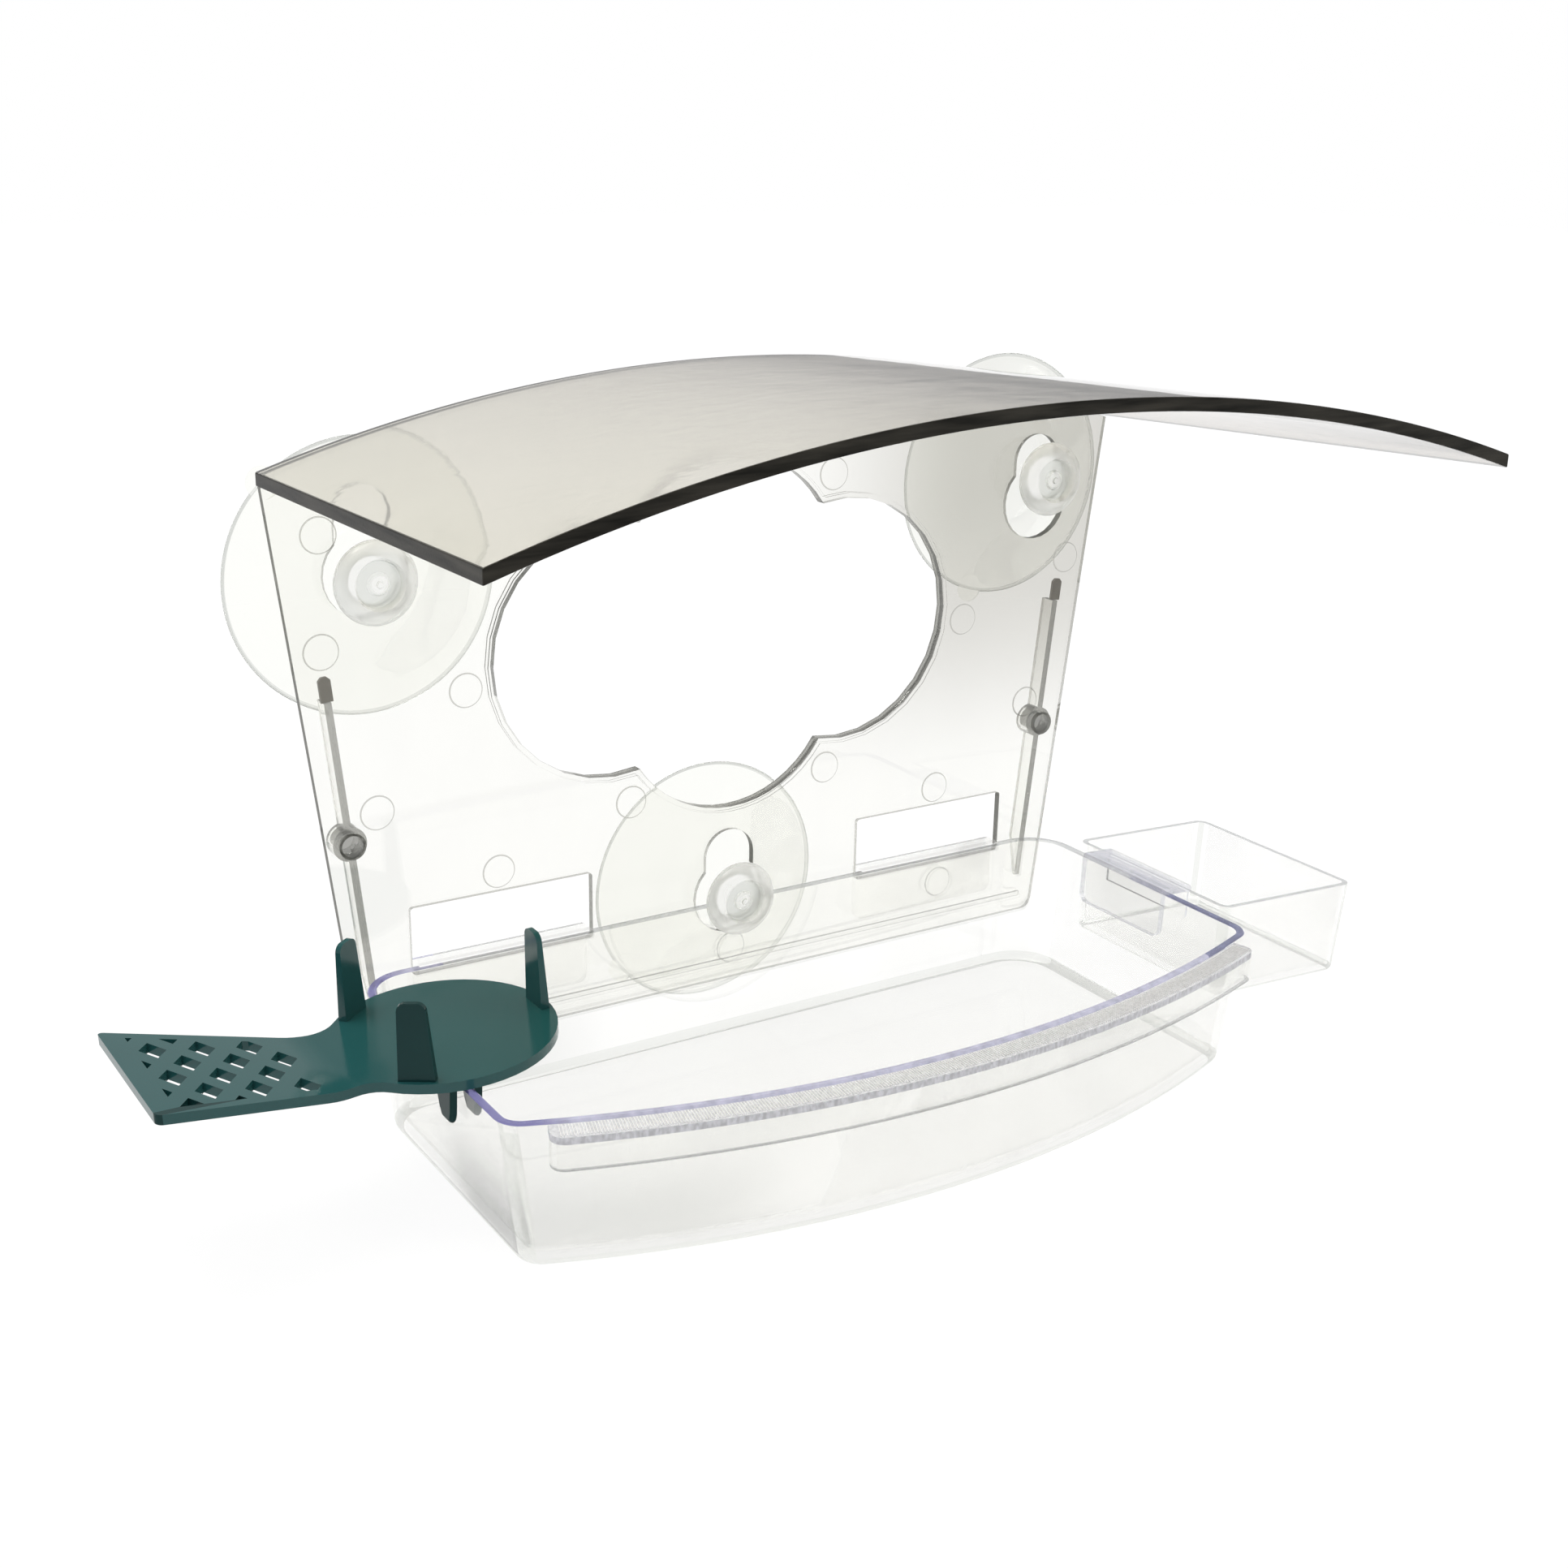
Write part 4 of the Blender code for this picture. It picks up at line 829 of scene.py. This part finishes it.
@dataclass
class SeedTray:
    """The bow-fronted tray, with its violet rim and ribbed ledge."""

    node: str = "seed_tray"
    rim: float = -2.1 * MM
    rim_round: float = 0.5 * MM
    rim_play: float = 0.1 * MM
    rim_cut: float = -4.8 * MM
    violet_front: float = -96 * MM
    violet_left: float = -100 * MM
    dark_front: float = -66 * MM
    dark_right: float = 102 * MM
    step_front: float = -80 * MM
    ledge_top: float = -2.8 * MM
    ledge_play: float = 0.05 * MM
    ledge_thick: float = 2.0 * MM
    skirt_foot: float = -12.3 * MM
    skirt_play: float = 0.3 * MM
    bow_middle: float = 201.5 * MM
    wall_reach: float = 345.7 * MM
    wall_inset: float = 2 * MM
    wall_x: float = 110 * MM
    left_wall_front: float = -116 * MM
    floor_high: float = -40 * MM
    foot_high: float = -35 * MM
    corner_x: float = -108 * MM
    corner_turn: Range = (-0.93, -0.6)
    rib_pitch: float = 0.84 * MM
    rib_width: float = 0.5 * MM
    rib_height: float = 0.3 * MM
    rib_length: float = 6.3 * MM
    rib_crest: Triple = (0.5, 0.94, 1.0)
    rib_radius: float = 349.1 * MM
    rib_turn: float = radians(19.5)
    rib_lift: float = 0.03 * MM

    def build(self) -> None:
        """Make the tray and its ribs, and dress them."""
        tray = merged_copy(self.node, "bow_tray")
        self.cut_bands(tray)
        smooth(tray)
        # The wall shades, the bends, the rim lines and the ledge's edge carry painted shade.
        dress(tray, TRAY, (
            (LEFT_WALL_PAINTED_SHADE, self.is_left_wall),
            (RIGHT_WALL, self.is_right_wall),
            (TRAY_FLOOR, self.is_floor),
            (TRAY_BEND_PAINTED_SHADE, self.is_bend),
            (TRAY_LINE_PAINTED_SHADE, self.is_rim),
            (VIOLET_RIM, self.is_violet),
            (DARK_RIM, self.is_dark),
            (LEDGE_BED, self.is_ledge_top),
            (LEDGE_EDGE_PAINTED_SHADE, self.is_ledge_edge),
            (TRAY_LINE_PAINTED_SHADE, self.is_skirt_foot)))
        settle(tray, Body.TRAY, Slot.CLEAR, self.node)
        ribs = self.ribs()
        dress(ribs, KNURL)
        settle(ribs, Body.TRAY, Slot.CLEAR)

    def cut_bands(self, tray: bpy.types.Object) -> None:
        """Cut the tray's faces where its rim changes colour.

        Args:
            tray: The tray.
        """
        edit_all(tray)
        for axis, place in ((2, self.rim_cut), (1, self.violet_front), (1, self.dark_front),
                            (0, self.violet_left), (0, self.dark_right)):
            across = Vector([float(index == axis) for index in range(3)])
            bpy.ops.mesh.select_all(action="SELECT")
            bpy.ops.mesh.bisect(plane_co=across * place, plane_no=across)
        close_edit()

    def is_left_wall(self, place: Vector, normal: Vector) -> bool:
        """Tell both faces of the left wall."""
        return abs(normal.x) > WALL and place.x < -self.wall_x and place.y > self.left_wall_front

    def is_right_wall(self, place: Vector, normal: Vector) -> bool:
        """Tell both faces of the right wall."""
        return abs(normal.x) > WALL and place.x > self.wall_x

    def is_floor(self, place: Vector, normal: Vector) -> bool:
        """Tell both faces of the floor."""
        return abs(normal.z) > SQUARE and place.z < self.floor_high

    def is_bend(self, place: Vector, normal: Vector) -> bool:
        """Tell the outer bends: round the floor and at the left front corner."""
        foot = place.z < self.foot_high and within(normal.z, FOOT_TURN)
        return foot or self.is_corner(place, normal)

    def is_corner(self, place: Vector, normal: Vector) -> bool:
        """Tell the upright bend at the left front corner, apart from the ledge's end.

        Args:
            place: The face's centre.
            normal: The face's normal.

        Returns:
            True for the faces of this bend.
        """
        turning = abs(normal.z) < UPRIGHT and within(normal.x, self.corner_turn) and normal.y < 0
        below = place.z < self.rim - self.rim_round and place.x < self.corner_x
        return turning and below and self.out(place) < self.wall_reach - self.wall_inset

    def out(self, place: Vector) -> float:
        """How far a place is from the middle of the tray's bow."""
        return hypot(place.x, place.y - self.bow_middle)

    def is_rim(self, place: Vector, normal: Vector) -> bool:
        """Tell the top of the tray's wall from its hooks and its ledge."""
        return normal.z > BRIM and self.rim - self.rim_round < place.z < self.rim + self.rim_play

    def is_band(self, place: Vector, normal: Vector) -> bool:
        """Tell the rim, with the low step in front of it down to the ledge."""
        step = place.z > self.ledge_top + self.ledge_play and place.y < self.step_front
        return self.is_rim(place, normal) or step

    def is_violet(self, place: Vector, normal: Vector) -> bool:
        """Tell the front and left stretches of the rim."""
        front = place.y < self.violet_front or place.x < self.violet_left
        return self.is_band(place, normal) and front

    def is_dark(self, place: Vector, normal: Vector) -> bool:
        """Tell the right front stretch of the rim, which looks darkest."""
        right_front = place.x > self.dark_right and place.y < self.dark_front
        return self.is_band(place, normal) and right_front

    def is_ledge_top(self, place: Vector, normal: Vector) -> bool:
        """Tell the ledge's upper face."""
        return normal.z > FACING and abs(place.z - self.ledge_top) < self.ledge_play

    def is_ledge_edge(self, place: Vector, normal: Vector) -> bool:
        """Tell the upper part of the ledge's front and end faces."""
        high = self.ledge_top - self.ledge_thick < place.z < self.ledge_top
        return abs(normal.z) < EDGE and high and self.out(place) > self.wall_reach

    def is_skirt_foot(self, place: Vector, normal: Vector) -> bool:
        """Tell the lower edge of the skirt under the ledge."""
        return normal.z < -FACING and abs(place.z - self.skirt_foot) < self.skirt_play

    def ribs(self) -> bpy.types.Object:
        """Make the fine ribs across the ledge: one rib, repeated in a row that is bent to the bow.

        Returns:
            All ribs, as one piece.
        """
        bpy.ops.object.select_all(action="DESELECT")
        bpy.ops.mesh.primitive_cube_add(size=1.0)
        ribs = bpy.context.active_object
        ribs.name = "ledge_ribs"
        ribs.scale = (self.rib_width, self.rib_length, self.rib_height)
        bpy.ops.object.transform_apply(location=False, rotation=False, scale=True)
        for face in ribs.data.polygons:
            face.select = face.normal.z > FACING
        bpy.ops.object.mode_set(mode="EDIT")
        bpy.ops.mesh.select_mode(type="FACE")
        bpy.ops.transform.resize(value=self.rib_crest)
        bpy.ops.object.mode_set(mode="OBJECT")
        count = int(2 * self.rib_turn * self.rib_radius / self.rib_pitch)
        modify(ribs, "ARRAY", count=count, use_relative_offset=False, use_constant_offset=True,
               constant_offset_displace=(self.rib_pitch, 0.0, 0.0))
        ribs.location = (-(count - 1) / 2 * self.rib_pitch, 0.0, self.rib_height / 2)
        bpy.ops.object.transform_apply()
        modify(ribs, "SIMPLE_DEFORM", deform_method="BEND", deform_axis="Z",
               angle=count * self.rib_pitch / self.rib_radius)
        ribs.location = (0.0, self.bow_middle - self.rib_radius, self.ledge_top + self.rib_lift)
        bpy.ops.object.transform_apply()
        return ribs


@dataclass
class SideCup:
    """The small cup on the tray's right wall."""

    node: str = "side_cup"
    saddle_end: float = 132.5 * MM
    rim_low: float = -6 * MM
    corner_turn: Range = (0.3, 0.95)

    def build(self) -> None:
        """Make the side cup and dress it."""
        cup = merged_copy(self.node, "small_cup")
        dress(cup, CUP_WALL, (
            (TRAY_BEND_PAINTED_SHADE, self.is_bend),
            (TRAY_LINE_PAINTED_SHADE, self.is_rim),
            (SADDLE_PLATE, self.is_saddle),
            (SADDLE_EDGE, self.is_saddle_edge)))
        settle(cup, Body.SIDE_FEEDER, Slot.CLEAR, self.node)

    def is_bend(self, place: Vector, normal: Vector) -> bool:
        """Tell the outer bends: round the floor and at the front's upright corners."""
        corner = abs(normal.z) < UPRIGHT and within(abs(normal.x), self.corner_turn) and normal.y < 0
        return within(normal.z, FOOT_TURN) or corner

    def is_rim(self, place: Vector, normal: Vector) -> bool:
        """Tell the top of the cup's wall."""
        return normal.z > FACING and place.z > self.rim_low

    def is_saddle(self, place: Vector, normal: Vector) -> bool:
        """Tell the saddle, which hangs on the tray's wall."""
        return place.x < self.saddle_end

    def is_saddle_edge(self, place: Vector, normal: Vector) -> bool:
        """Tell the saddle's top and narrow faces."""
        return self.is_saddle(place, normal) and abs(normal.x) < SIDE


@dataclass
class FruitHolder:
    """The dark green holder with its blades and lattice perch."""

    node: str = "fruit_holder"
    edge_round: float = 0.3 * MM
    edge_steps: int = 2
    prong_top: float = -5.0 * MM
    prong_round: float = 1.1 * MM
    prong_steps: int = 4
    prong_middles: Range = (-88.8 * MM, -45.2 * MM)
    prong_reach: float = 10 * MM
    prong_slim: Triple = (1.0, 0.62, 0.8)
    blade_foot: float = 3.0 * MM
    front_blade: float = -85.0 * MM

    def build(self) -> None:
        """Make the fruit holder and dress it."""
        holder = merged_copy(self.node, "green_holder")
        self.round_prongs(holder)
        modify(holder, "BEVEL", width=self.edge_round, segments=self.edge_steps, angle_limit=CRISP_TURN)
        smooth(holder)
        # The front blade and the prongs get painted shade.
        dress(holder, GREEN, ((GREEN_BLADE_PAINTED_SHADE, self.is_painted_shade_blade), (GREEN_PRONG_PAINTED_SHADE, self.is_painted_shade_prong)))
        settle(holder, Body.FRUIT_PERCH, Slot.GREEN, self.node)

    def round_prongs(self, holder: bpy.types.Object) -> None:
        """Round the prongs' edges, and draw the ends of each pair in and a little up.

        Args:
            holder: The holder.
        """
        for edge in holder.data.edges:
            edge.select = all(holder.data.vertices[end].co.z < self.prong_top for end in edge.vertices)
        only(holder)
        bpy.ops.object.mode_set(mode="EDIT")
        bpy.ops.mesh.select_mode(type="EDGE")
        bpy.ops.mesh.bevel(offset=self.prong_round, segments=self.prong_steps)
        bpy.ops.mesh.select_all(action="DESELECT")
        for middle in self.prong_middles:
            bpy.ops.object.mode_set(mode="OBJECT")
            for vertex in holder.data.vertices:
                near = abs(vertex.co.y - middle) < self.prong_reach
                vertex.select = vertex.co.z < self.prong_top and near
            bpy.ops.object.mode_set(mode="EDIT")
            bpy.ops.mesh.select_mode(type="VERT")
            bpy.ops.transform.resize(value=self.prong_slim, center_override=(0.0, middle, self.prong_top))
            bpy.ops.mesh.select_all(action="DESELECT")
        bpy.ops.object.mode_set(mode="OBJECT")

    def is_painted_shade_blade(self, place: Vector, normal: Vector) -> bool:
        """Tell the blade nearest to the front, which gets painted shade."""
        return place.z > self.blade_foot and place.y < self.front_blade

    def is_painted_shade_prong(self, place: Vector, normal: Vector) -> bool:
        """Tell the prongs below the tray's rim, which get painted shade."""
        return place.z < self.prong_top


@dataclass(frozen=True)
class CupPlace:
    """Where one cup stands and how its soft lip leans, in millimetres, and where its pull tab points."""

    body: Body
    x: float
    z: float
    lean: Range
    tab_turn: float


@dataclass
class SuctionCups:
    """The three soft clear cups. The rings are in millimetres: radius, depth and sway."""

    places: dict[str, CupPlace] = field(default_factory=lambda: {
        "left": CupPlace(Body.CUP_LEFT, -116.8, 115.2, (4.1, -3.1), radians(133.0)),
        "right": CupPlace(Body.CUP_RIGHT, 116.8, 124.6, (-3.5, -1.5), radians(-107.0)),
        "lower": CupPlace(Body.CUP_LOWER, 0.0, 0.0, (-0.6, -0.8), radians(-142.0))})
    head_end: float = -16.2 * MM
    lip: Range = (39.2 * MM, 40.3 * MM)
    nub_radius: float = 3.5 * MM
    dish_radius: float = 6.9 * MM
    tab_radius: float = 4.6 * MM
    tab_out: float = 39.3 * MM
    tab_front: float = 1.0 * MM
    tab_thick: float = 0.8 * MM
    tab_steps: int = 32
    head_rings: tuple[Range, ...] = (
        (0.3, -26.0), (0.8, -25.9), (1.1, -25.4), (1.7, -25.2), (2.4, -25.35), (2.9, -25.1),
        (3.3, -24.3), (5.7, -24.1), (6.4, -24.4), (6.8, -25.4), (7.3, -26.1), (8.1, -26.25),
        (9.2, -26.05), (10.4, -25.5), (11.3, -24.6), (11.9, -23.4), (12.05, -22.3), (11.8, -21.4),
        (11.1, -20.85), (10.2, -20.7), (8.0, -20.7), (7.2, -20.4), (6.9, -19.8), (6.9, -17.5),
        (6.9, -14.6), (7.1, -13.5))
    dome_rings: tuple[Triple, ...] = (
        (7.7, -13.1, 0.0), (12.6, -13.1, 0.0), (13.4, -12.7, 0.0), (14.2, -11.6, 0.05),
        (16.0, -10.7, 0.15), (20.0, -8.9, 0.35), (25.0, -6.4, 0.55), (30.0, -4.1, 0.75),
        (34.5, -2.3, 0.9), (37.5, -1.35, 1.0), (39.3, -1.05, 1.0), (39.9, -0.8, 1.0),
        (40.0, -0.45, 1.0), (39.7, -0.1, 1.0), (38.8, -0.1, 1.0), (36.5, -0.5, 0.95),
        (32.0, -2.0, 0.8), (26.0, -4.7, 0.6), (20.0, -7.5, 0.35), (14.0, -9.7, 0.1),
        (9.0, -10.4, 0.0), (3.0, -10.6, 0.0))

    def build(self) -> None:
        """Make the cups and dress them."""
        for name, place in self.places.items():
            self.cup(name, place)

    def cup(self, name: str, place: CupPlace) -> None:
        """Make one cup.

        Args:
            name: The cup's name in the record.
            place: Where it stands and how it leans.
        """
        rings = [Ring(radius * MM, depth * MM) for radius, depth in self.head_rings]
        rings += [Ring(radius * MM, depth * MM, sway) for radius, depth, sway in self.dome_rings]
        axis = Vector((place.x, 0.0, place.z)) * MM
        lean = Vector((place.lean[0], 0.0, place.lean[1])) * MM
        middle = axis + lean
        cup = turned(f"soft_cup_{name}", axis, rings, lean)
        join_solid(cup, self.tab(middle, place.tab_turn))
        smooth(cup)
        # The lip edges, nub sides and dish carry painted shade, and the right cup's body a painted greying.
        dress(cup, SOFT, (
            (SOFT_HEAD, lambda spot, normal: spot.y < self.head_end),
            (SOFT_DISH_PAINTED_SHADE, lambda spot, normal: self.is_dish(spot - axis)),
            (SOFT_LIP_PAINTED_SHADE, lambda spot, normal: self.is_lip(spot - middle)),
            (SOFT_LIP_PAINTED_SHADE, lambda spot, normal: self.is_nub(spot - axis, normal))))
        settle(cup, place.body, Slot.SOFT, f"suction_cup_{name}")

    def tab(self, middle: Vector, turn: float) -> bpy.types.Object:
        """Make one pull tab, a flat round at the lip.

        Args:
            middle: The lip's middle.
            turn: Where the tab points, counted from +X towards +Z.

        Returns:
            The tab.
        """
        out = Vector((cos(turn), 0.0, sin(turn))) * self.tab_out
        front = middle + out - Vector((0.0, self.tab_front, 0.0))
        rings = [Ring(self.tab_radius, 0.0), Ring(self.tab_radius, self.tab_thick)]
        return turned("tab", front, rings, steps=self.tab_steps)

    def is_lip(self, spot: Vector) -> bool:
        """Tell the lip's outer round, by a place counted from the lip's middle."""
        return within(hypot(spot.x, spot.z), self.lip)

    def is_dish(self, spot: Vector) -> bool:
        """Tell the hollow ring between the head's rim and its nub."""
        return spot.y < self.head_end and self.nub_radius < hypot(spot.x, spot.z) < self.dish_radius

    def is_nub(self, spot: Vector, normal: Vector) -> bool:
        """Tell the steep side of the small nub in the head's dish."""
        inside = hypot(spot.x, spot.z) < self.nub_radius
        return spot.y < self.head_end and inside and abs(normal.y) < FACING


@dataclass(frozen=True)
class Lamp:
    """One soft square lamp: its place, its side in metres and its power in watts."""

    name: str
    place: Triple
    side: float
    power: float


@dataclass
class Studio:
    """The camera, with its eye in millimetres, the floor, the lamps and the pale room.

    The room's greys go by the sine of a ray's elevation. They differ for rays that pass through the
    object, that it mirrors, and that light it.
    """

    eye: Triple = (-316.3, -542.5, 243.8)
    yaw: float = radians(32.56)
    pitch: float = radians(-18.63)
    roll: float = radians(1.09)
    sensor: float = 36.0
    lens: float = 47.24
    nearest: float = 0.01
    floor_drop: float = 0.3 * MM
    floor_size: float = 8.0
    floor_paint: Colour = (0.8, 0.8, 0.8)
    floor_shine: float = 1.05
    floor_glow: float = 0.88
    shadow_reach: float = 0.34
    shadow_end: float = 0.62
    lit_spot: Triple = (0.0, -0.08, 0.05)
    lamps: tuple[Lamp, ...] = (
        Lamp("key_lamp", (-0.45, 0.25, 1.7), 0.9, 17.0),
        Lamp("fill_lamp", (1.1, -0.7, 0.9), 1.0, 3.0))
    beyond: tuple[Range, ...] = ((0.0, 1.0), (0.17, 1.0), (0.30, 0.62), (0.55, 0.40), (1.0, 0.35))
    mirrored: tuple[Range, ...] = (
        (0.0, 0.42), (0.10, 0.57), (0.27, 0.68), (0.33, 0.60), (0.47, 0.45), (0.7, 0.30), (1.0, 0.30))
    ambient: tuple[Range, ...] = ((0.0, 0.25), (0.3, 0.45), (0.7, 0.85), (1.0, 0.9))

    def build(self) -> None:
        """Set up the whole studio."""
        self.camera()
        self.floor()
        for lamp in self.lamps:
            self.hang(lamp)
        self.room()
        bpy.context.scene.view_settings.view_transform = "Standard"

    def camera(self) -> None:
        """Set the camera at the photograph's viewing angle."""
        ahead = Vector((sin(self.yaw) * cos(self.pitch), cos(self.yaw) * cos(self.pitch), sin(self.pitch)))
        level = Vector((cos(self.yaw), -sin(self.yaw), 0.0))
        over = level.cross(ahead)
        right = cos(self.roll) * level + sin(self.roll) * over
        up = cos(self.roll) * over - sin(self.roll) * level
        turn = Matrix((right, up, -ahead)).transposed().to_4x4()
        bpy.ops.object.camera_add()
        camera = bpy.context.active_object
        camera.name = "camera"
        camera.matrix_world = Matrix.Translation(Vector(self.eye) * MM) @ turn
        camera.data.sensor_width = self.sensor
        camera.data.lens = self.lens
        camera.data.clip_start = self.nearest
        bpy.context.scene.camera = camera

    def floor(self) -> None:
        """Lay the pale floor, which shows white and keeps a faint shadow."""
        low = CAD_BOX[0][2] - self.floor_drop
        bpy.ops.object.select_all(action="DESELECT")
        bpy.ops.mesh.primitive_plane_add(size=self.floor_size, location=(0.0, 0.0, low))
        floor = bpy.context.active_object
        floor.name = "floor"
        bpy.ops.object.transform_apply()
        material, bench = new_material("pale_floor")
        paint = bench.node("ShaderNodeBsdfDiffuse", None, {"Color": (*self.floor_paint, 1.0)})
        glow = bench.node("ShaderNodeEmission", None, {"Color": WHITE, "Strength": self.floor_shine})
        path = bench.node("ShaderNodeLightPath")
        seen = bench.wire(path, "Is Camera Ray") | bench.wire(path, "Is Glossy Ray")
        seen = seen | bench.wire(path, "Is Transmission Ray")
        spot = bench.node("ShaderNodeTexCoord").outputs["Object"]
        away = bench.node("ShaderNodeVectorMath", {"operation": "LENGTH"}, {0: spot})
        far = bench.climb(away.outputs["Value"], self.shadow_reach, self.shadow_end, "SMOOTHSTEP")
        share = self.floor_glow + far * (1 - self.floor_glow)
        mixed = bench.node("ShaderNodeMixShader", None, {
            "Fac": seen * share, 1: paint.outputs[0], 2: glow.outputs[0]})
        bench.node("ShaderNodeOutputMaterial", None, {"Surface": mixed.outputs[0]})
        floor.data.materials.append(material)

    def hang(self, lamp: Lamp) -> None:
        """Hang one soft lamp, which faces the object.

        Args:
            lamp: The lamp.
        """
        bpy.ops.object.light_add(type="AREA", location=lamp.place)
        hung = bpy.context.active_object
        hung.name = lamp.name
        ray = Vector(self.lit_spot) - Vector(lamp.place)
        hung.rotation_euler = ray.to_track_quat("-Z", "Y").to_euler()
        hung.data.shape = "SQUARE"
        hung.data.size = lamp.side
        hung.data.energy = lamp.power

    def room(self) -> None:
        """Give the room its brightness by direction, and white behind the object."""
        world = bpy.data.worlds.new("pale_room")
        bpy.context.scene.world = world
        world.use_nodes = True
        bench = NodeBench(world.node_tree)
        sky = bench.node("ShaderNodeTexCoord")
        rise = bench.wire(bench.node("ShaderNodeSeparateXYZ", None, {0: sky.outputs["Generated"]}), "Z")
        path = bench.node("ShaderNodeLightPath")
        camera = bench.wire(path, "Is Camera Ray")
        through = bench.wire(path, "Is Transmission Ray")
        glossy = bench.wire(path, "Is Glossy Ray")
        beyond, mirrored, ambient = [
            bench.ramp(rise, [(place, (grey, grey, grey)) for place, grey in stops])
            for stops in (self.beyond, self.mirrored, self.ambient)]
        strength = camera + (1 - camera) * (
            through * beyond + (1 - through) * (glossy * mirrored + (1 - glossy) * ambient))
        shine = bench.node("ShaderNodeBackground", None, {"Color": WHITE, "Strength": strength})
        bench.node("ShaderNodeOutputWorld", None, {"Surface": shine.outputs[0]})


def main() -> None:
    """Build the pieces and the studio, in order."""
    for part in (BackPanel(), Roof(), Rails(), SeedTray(), SideCup(), FruitHolder(), SuctionCups()):
        log.info("building %s", type(part).__name__)
        part.build()
    Studio().build()


if __name__ == "__main__":
    main()
